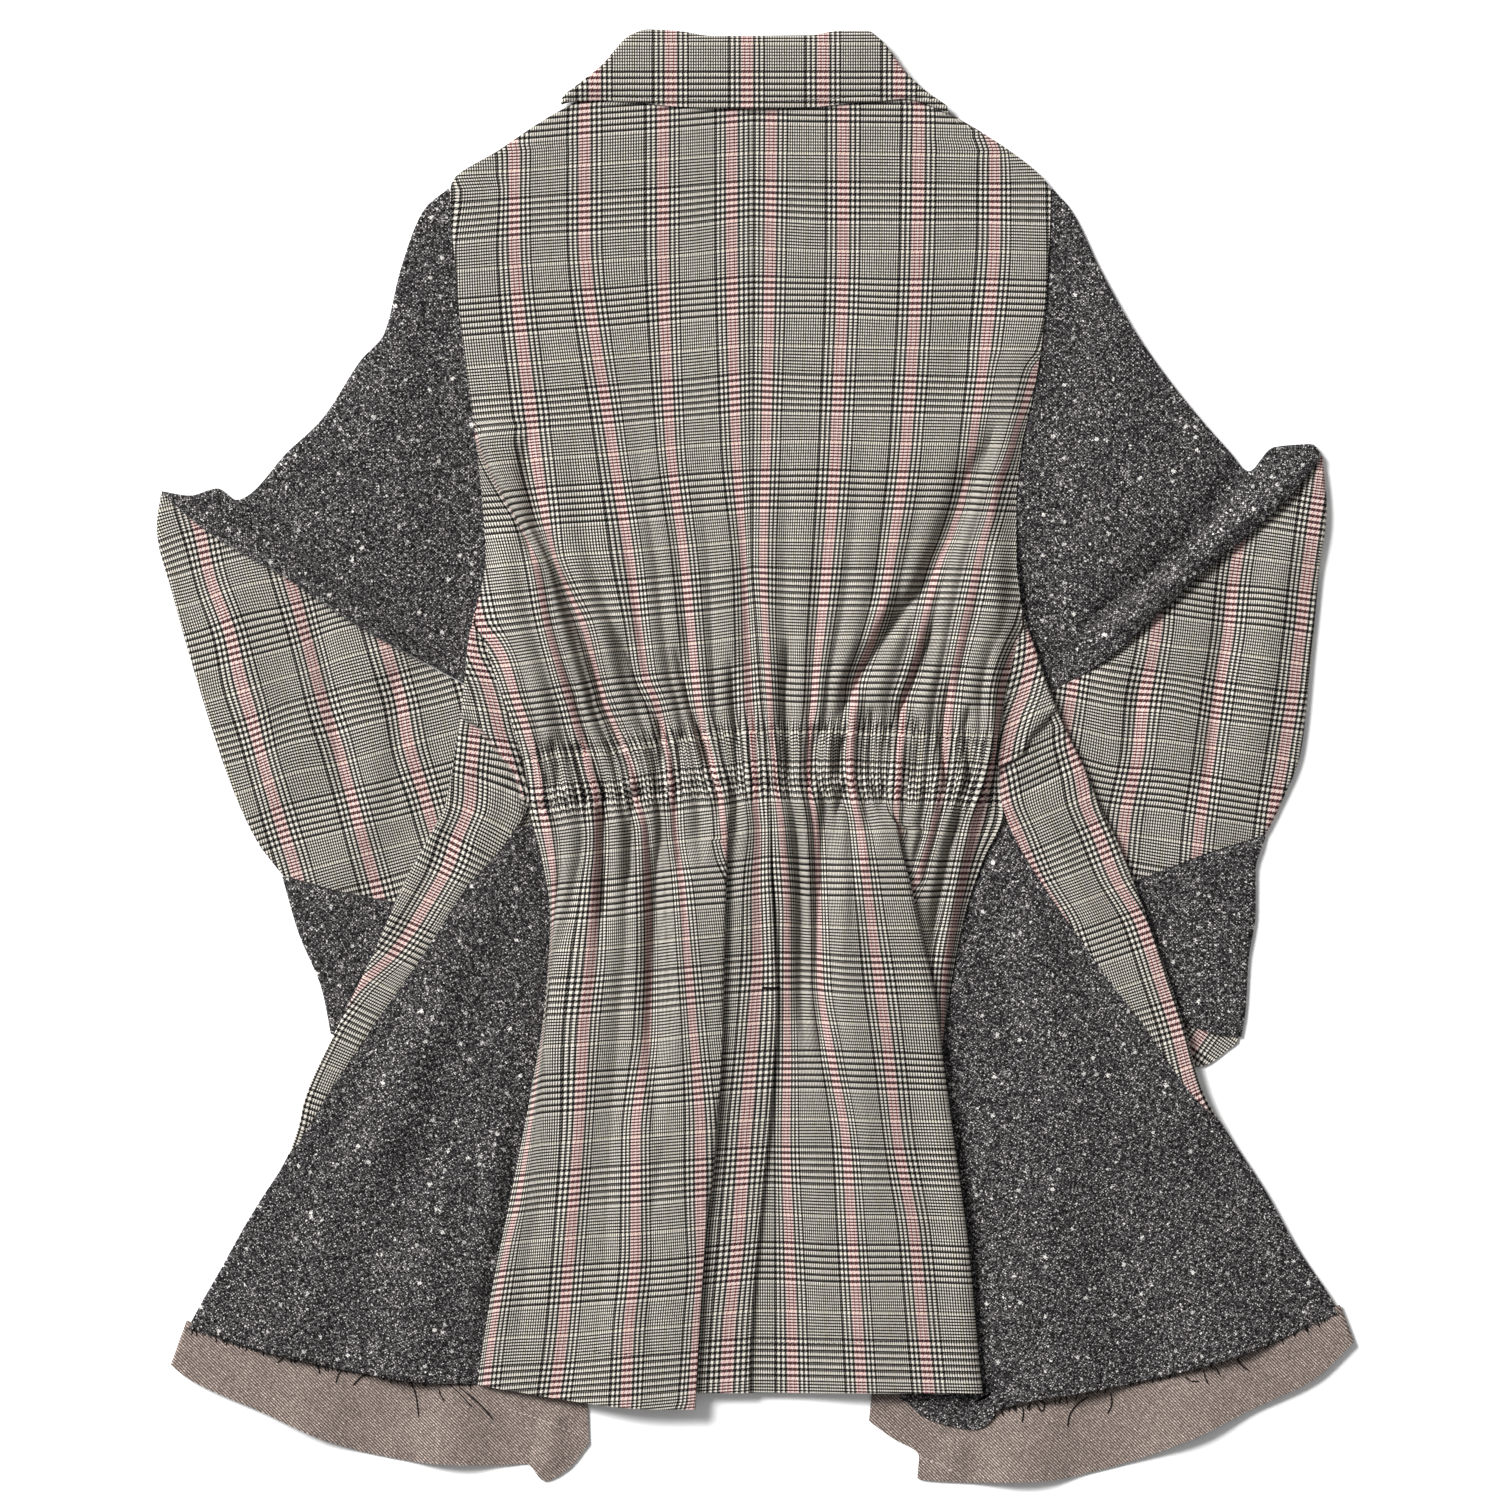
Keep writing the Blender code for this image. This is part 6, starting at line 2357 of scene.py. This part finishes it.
@dataclass(frozen=True)
class Sewing:
    """Stitch lines, the bar tack and the loose thread ends, by their places on the coat."""

    collar_line: Line = ((-99, 460), (-60, 458.6), (0, 457), (50, 458.6), (85, 462))
    left_hem: Line = ((-114, -417), (-80, -419), (-43, -418))
    right_hem: Line = ((-30, -409), (40, -411), (122, -409))
    bar_tack: Line = ((4, -162.5), (10, -162.8), (17, -162.4))
    left_pale: Line = ((-173, -458), (-148, -466), (-122, -477))
    right_pale: Line = ((115, -491), (130, -497), (145, -505))
    left_tails: tuple[Line, ...] = (
        ((-335, -425), (-332, -423), (-330, -420)),
        ((-323, -425), (-321, -424), (-320, -421)),
        ((-305, -425), (-306, -429), (-305, -433)),
        ((-288, -429), (-292, -433), (-294, -439)),
        ((-270, -433), (-276, -435), (-282, -441)),
        ((-242, -438), (-238, -448), (-236, -463)),
        ((-222, -443), (-221, -447), (-218, -452)),
        ((-215, -440), (-208, -446), (-199, -456)),
        ((-208, -442), (-198, -450), (-188, -460), (-184, -465)),
    )
    right_tails: tuple[Line, ...] = (
        ((166, -453), (167, -459), (167, -465)),
        ((173, -453), (172, -458), (173, -463)),
        ((186, -455), (187, -460), (186, -467)),
        ((195, -453), (200, -459), (202, -454), (197, -451)),
        ((233, -449), (224, -455), (219, -463), (218, -470)),
        ((248, -446), (249, -453), (246, -461)),
        ((300, -435), (305, -438), (310, -438)),
        ((313, -430), (314, -435), (317, -441)),
        ((321, -428), (323, -431), (325, -435)),
        ((336, -422), (340, -427), (345, -431)),
    )
    casing_ends: Point = (-165, 180)
    casing_count: int = 90
    ticks: Fringe = Fringe(46, (0.02, 0.98), (1.5, 4.0), 2.5, 2.2, (0.4, 0.4), 0.35)
    fibres: Fringe = Fringe(260, (0.0, 1.0), (0.8, 2.6), 1.5, 1.0, (0.5, -0.4), 0.25)
    seed: int = 7

    def build(self, cloths: Sequence[Piece]) -> list[Piece]:
        """Sew the lines on finished cloths and lay the loose ends on them.

        Args:
            cloths: The pieces of cloth.

        Returns:
            The new pieces.
        """
        surface = Surface(cloths)
        seams = Threads("seam_stitches", BLACK_THREAD, radius=0.22)
        across = np.linspace(*self.casing_ends, self.casing_count)
        for line in (CASING_TOP, CASING_BOTTOM):
            seams.sew(surface, [(float(x), float(line(x))) for x in across], stitch=3.6, gap=0.5)
        for plan in (self.collar_line, self.left_hem, self.right_hem):
            seams.sew(surface, plan)
        seams.lay(seams.on(surface, self.bar_tack, step=0.8, above=0.3), radius=0.9)
        tails = Threads("loose_thread_ends", BLACK_THREAD, radius=0.42)
        for plan in self.left_tails + self.right_tails:
            tails.lay(tails.on(surface, plan, step=1.0, above=0.45))
        fray = Threads("raw_edge_fray", GREY_FIBRE, radius=0.14, sides=4)
        draw = np.random.default_rng(self.seed)
        self.ticks.lay(tails, surface, draw)
        self.fibres.lay(fray, surface, draw)
        pale = Threads("band_stitches", PALE_THREAD, radius=0.32)
        for plan in (self.left_pale, self.right_pale):
            pale.sew(surface, plan)
        slots = Slot.CHECK, Slot.TWEED, Slot.TWEED, Slot.BAND
        return [threads.build(slot) for threads, slot in zip((seams, tails, fray, pale), slots)]


@dataclass(frozen=True)
class Studio:
    """A pale floor, soft light and a camera straight above, in metres and watts."""

    view: float = 1.0584
    middle: float = -0.0007
    height: float = 6.0
    sensor: float = 36.0
    floor_half: float = 4.0
    floor_level: float = -0.0004
    floor_colour: Colour = (0.93, 0.93, 0.93, 1)
    fill: float = 0.36
    key_power: float = 3250.0
    key_place: tuple[float, float, float] = (-7.6, 5.9, 8.1)
    key_size: float = 5.0

    def build(self) -> None:
        """Make the floor, the lights and the camera."""
        self.floor()
        self.light()
        self.camera()

    def floor(self) -> None:
        """A plain pale floor."""
        mesh = bpy.data.meshes.new("floor")
        half, low = self.floor_half, self.floor_level
        corners = [(-half, -half, low), (half, -half, low), (half, half, low), (-half, half, low)]
        mesh.from_pydata(corners, [], [(0, 1, 2, 3)])
        material = bpy.data.materials.new("pale_floor")
        material.use_nodes = True
        shader = material.node_tree.nodes["Principled BSDF"]
        shader.inputs["Base Color"].default_value = self.floor_colour
        shader.inputs["Roughness"].default_value = 0.9
        shader.inputs["Specular IOR Level"].default_value = 0.1
        mesh.materials.append(material)
        floor = put("floor", mesh)

    def light(self) -> None:
        """A bright room and one large soft lamp beyond the collar, to the left."""
        scene = bpy.context.scene
        scene.view_settings.view_transform = "Standard"
        world = bpy.data.worlds.new("studio")
        world.use_nodes = True
        sky = world.node_tree.nodes["Background"].inputs
        sky["Color"].default_value = (1, 1, 1, 1)
        sky["Strength"].default_value = self.fill
        scene.world = world
        lamp = bpy.data.lights.new("soft_key", "AREA")
        lamp.size = self.key_size
        lamp.energy = self.key_power
        key = put("soft_key", lamp)
        key.location = self.key_place
        key.rotation_euler = (-key.location).to_track_quat("-Z", "Y").to_euler()

    def camera(self) -> None:
        """A camera straight above the coat."""
        lens = bpy.data.cameras.new("camera")
        lens.sensor_width = self.sensor
        lens.lens = self.sensor * self.height / self.view
        lens.clip_end = 50
        camera = put("camera", lens)
        camera.location = (0, self.middle, self.height)
        bpy.context.scene.camera = camera


def main() -> None:
    """Build the coat and its studio."""
    logging.basicConfig(level=logging.INFO, format="%(name)s: %(message)s")
    Studio().build()
    cloths: list[Piece] = []
    fronts_and_backs = LEFT_FRONT, RIGHT_FRONT, LEFT_BACK, RIGHT_BACK
    for panel in (*fronts_and_backs, LEFT_GODET, RIGHT_GODET, LEFT_BAND, RIGHT_BAND):
        cloths.append(panel.build())
    for sleeve in (LEFT_SLEEVE, RIGHT_SLEEVE):
        cloths += sleeve.build()
    cloths += [CuffFacing().build(), Collar().build()]
    Sewing().build(cloths)


if __name__ == "__main__":
    main()
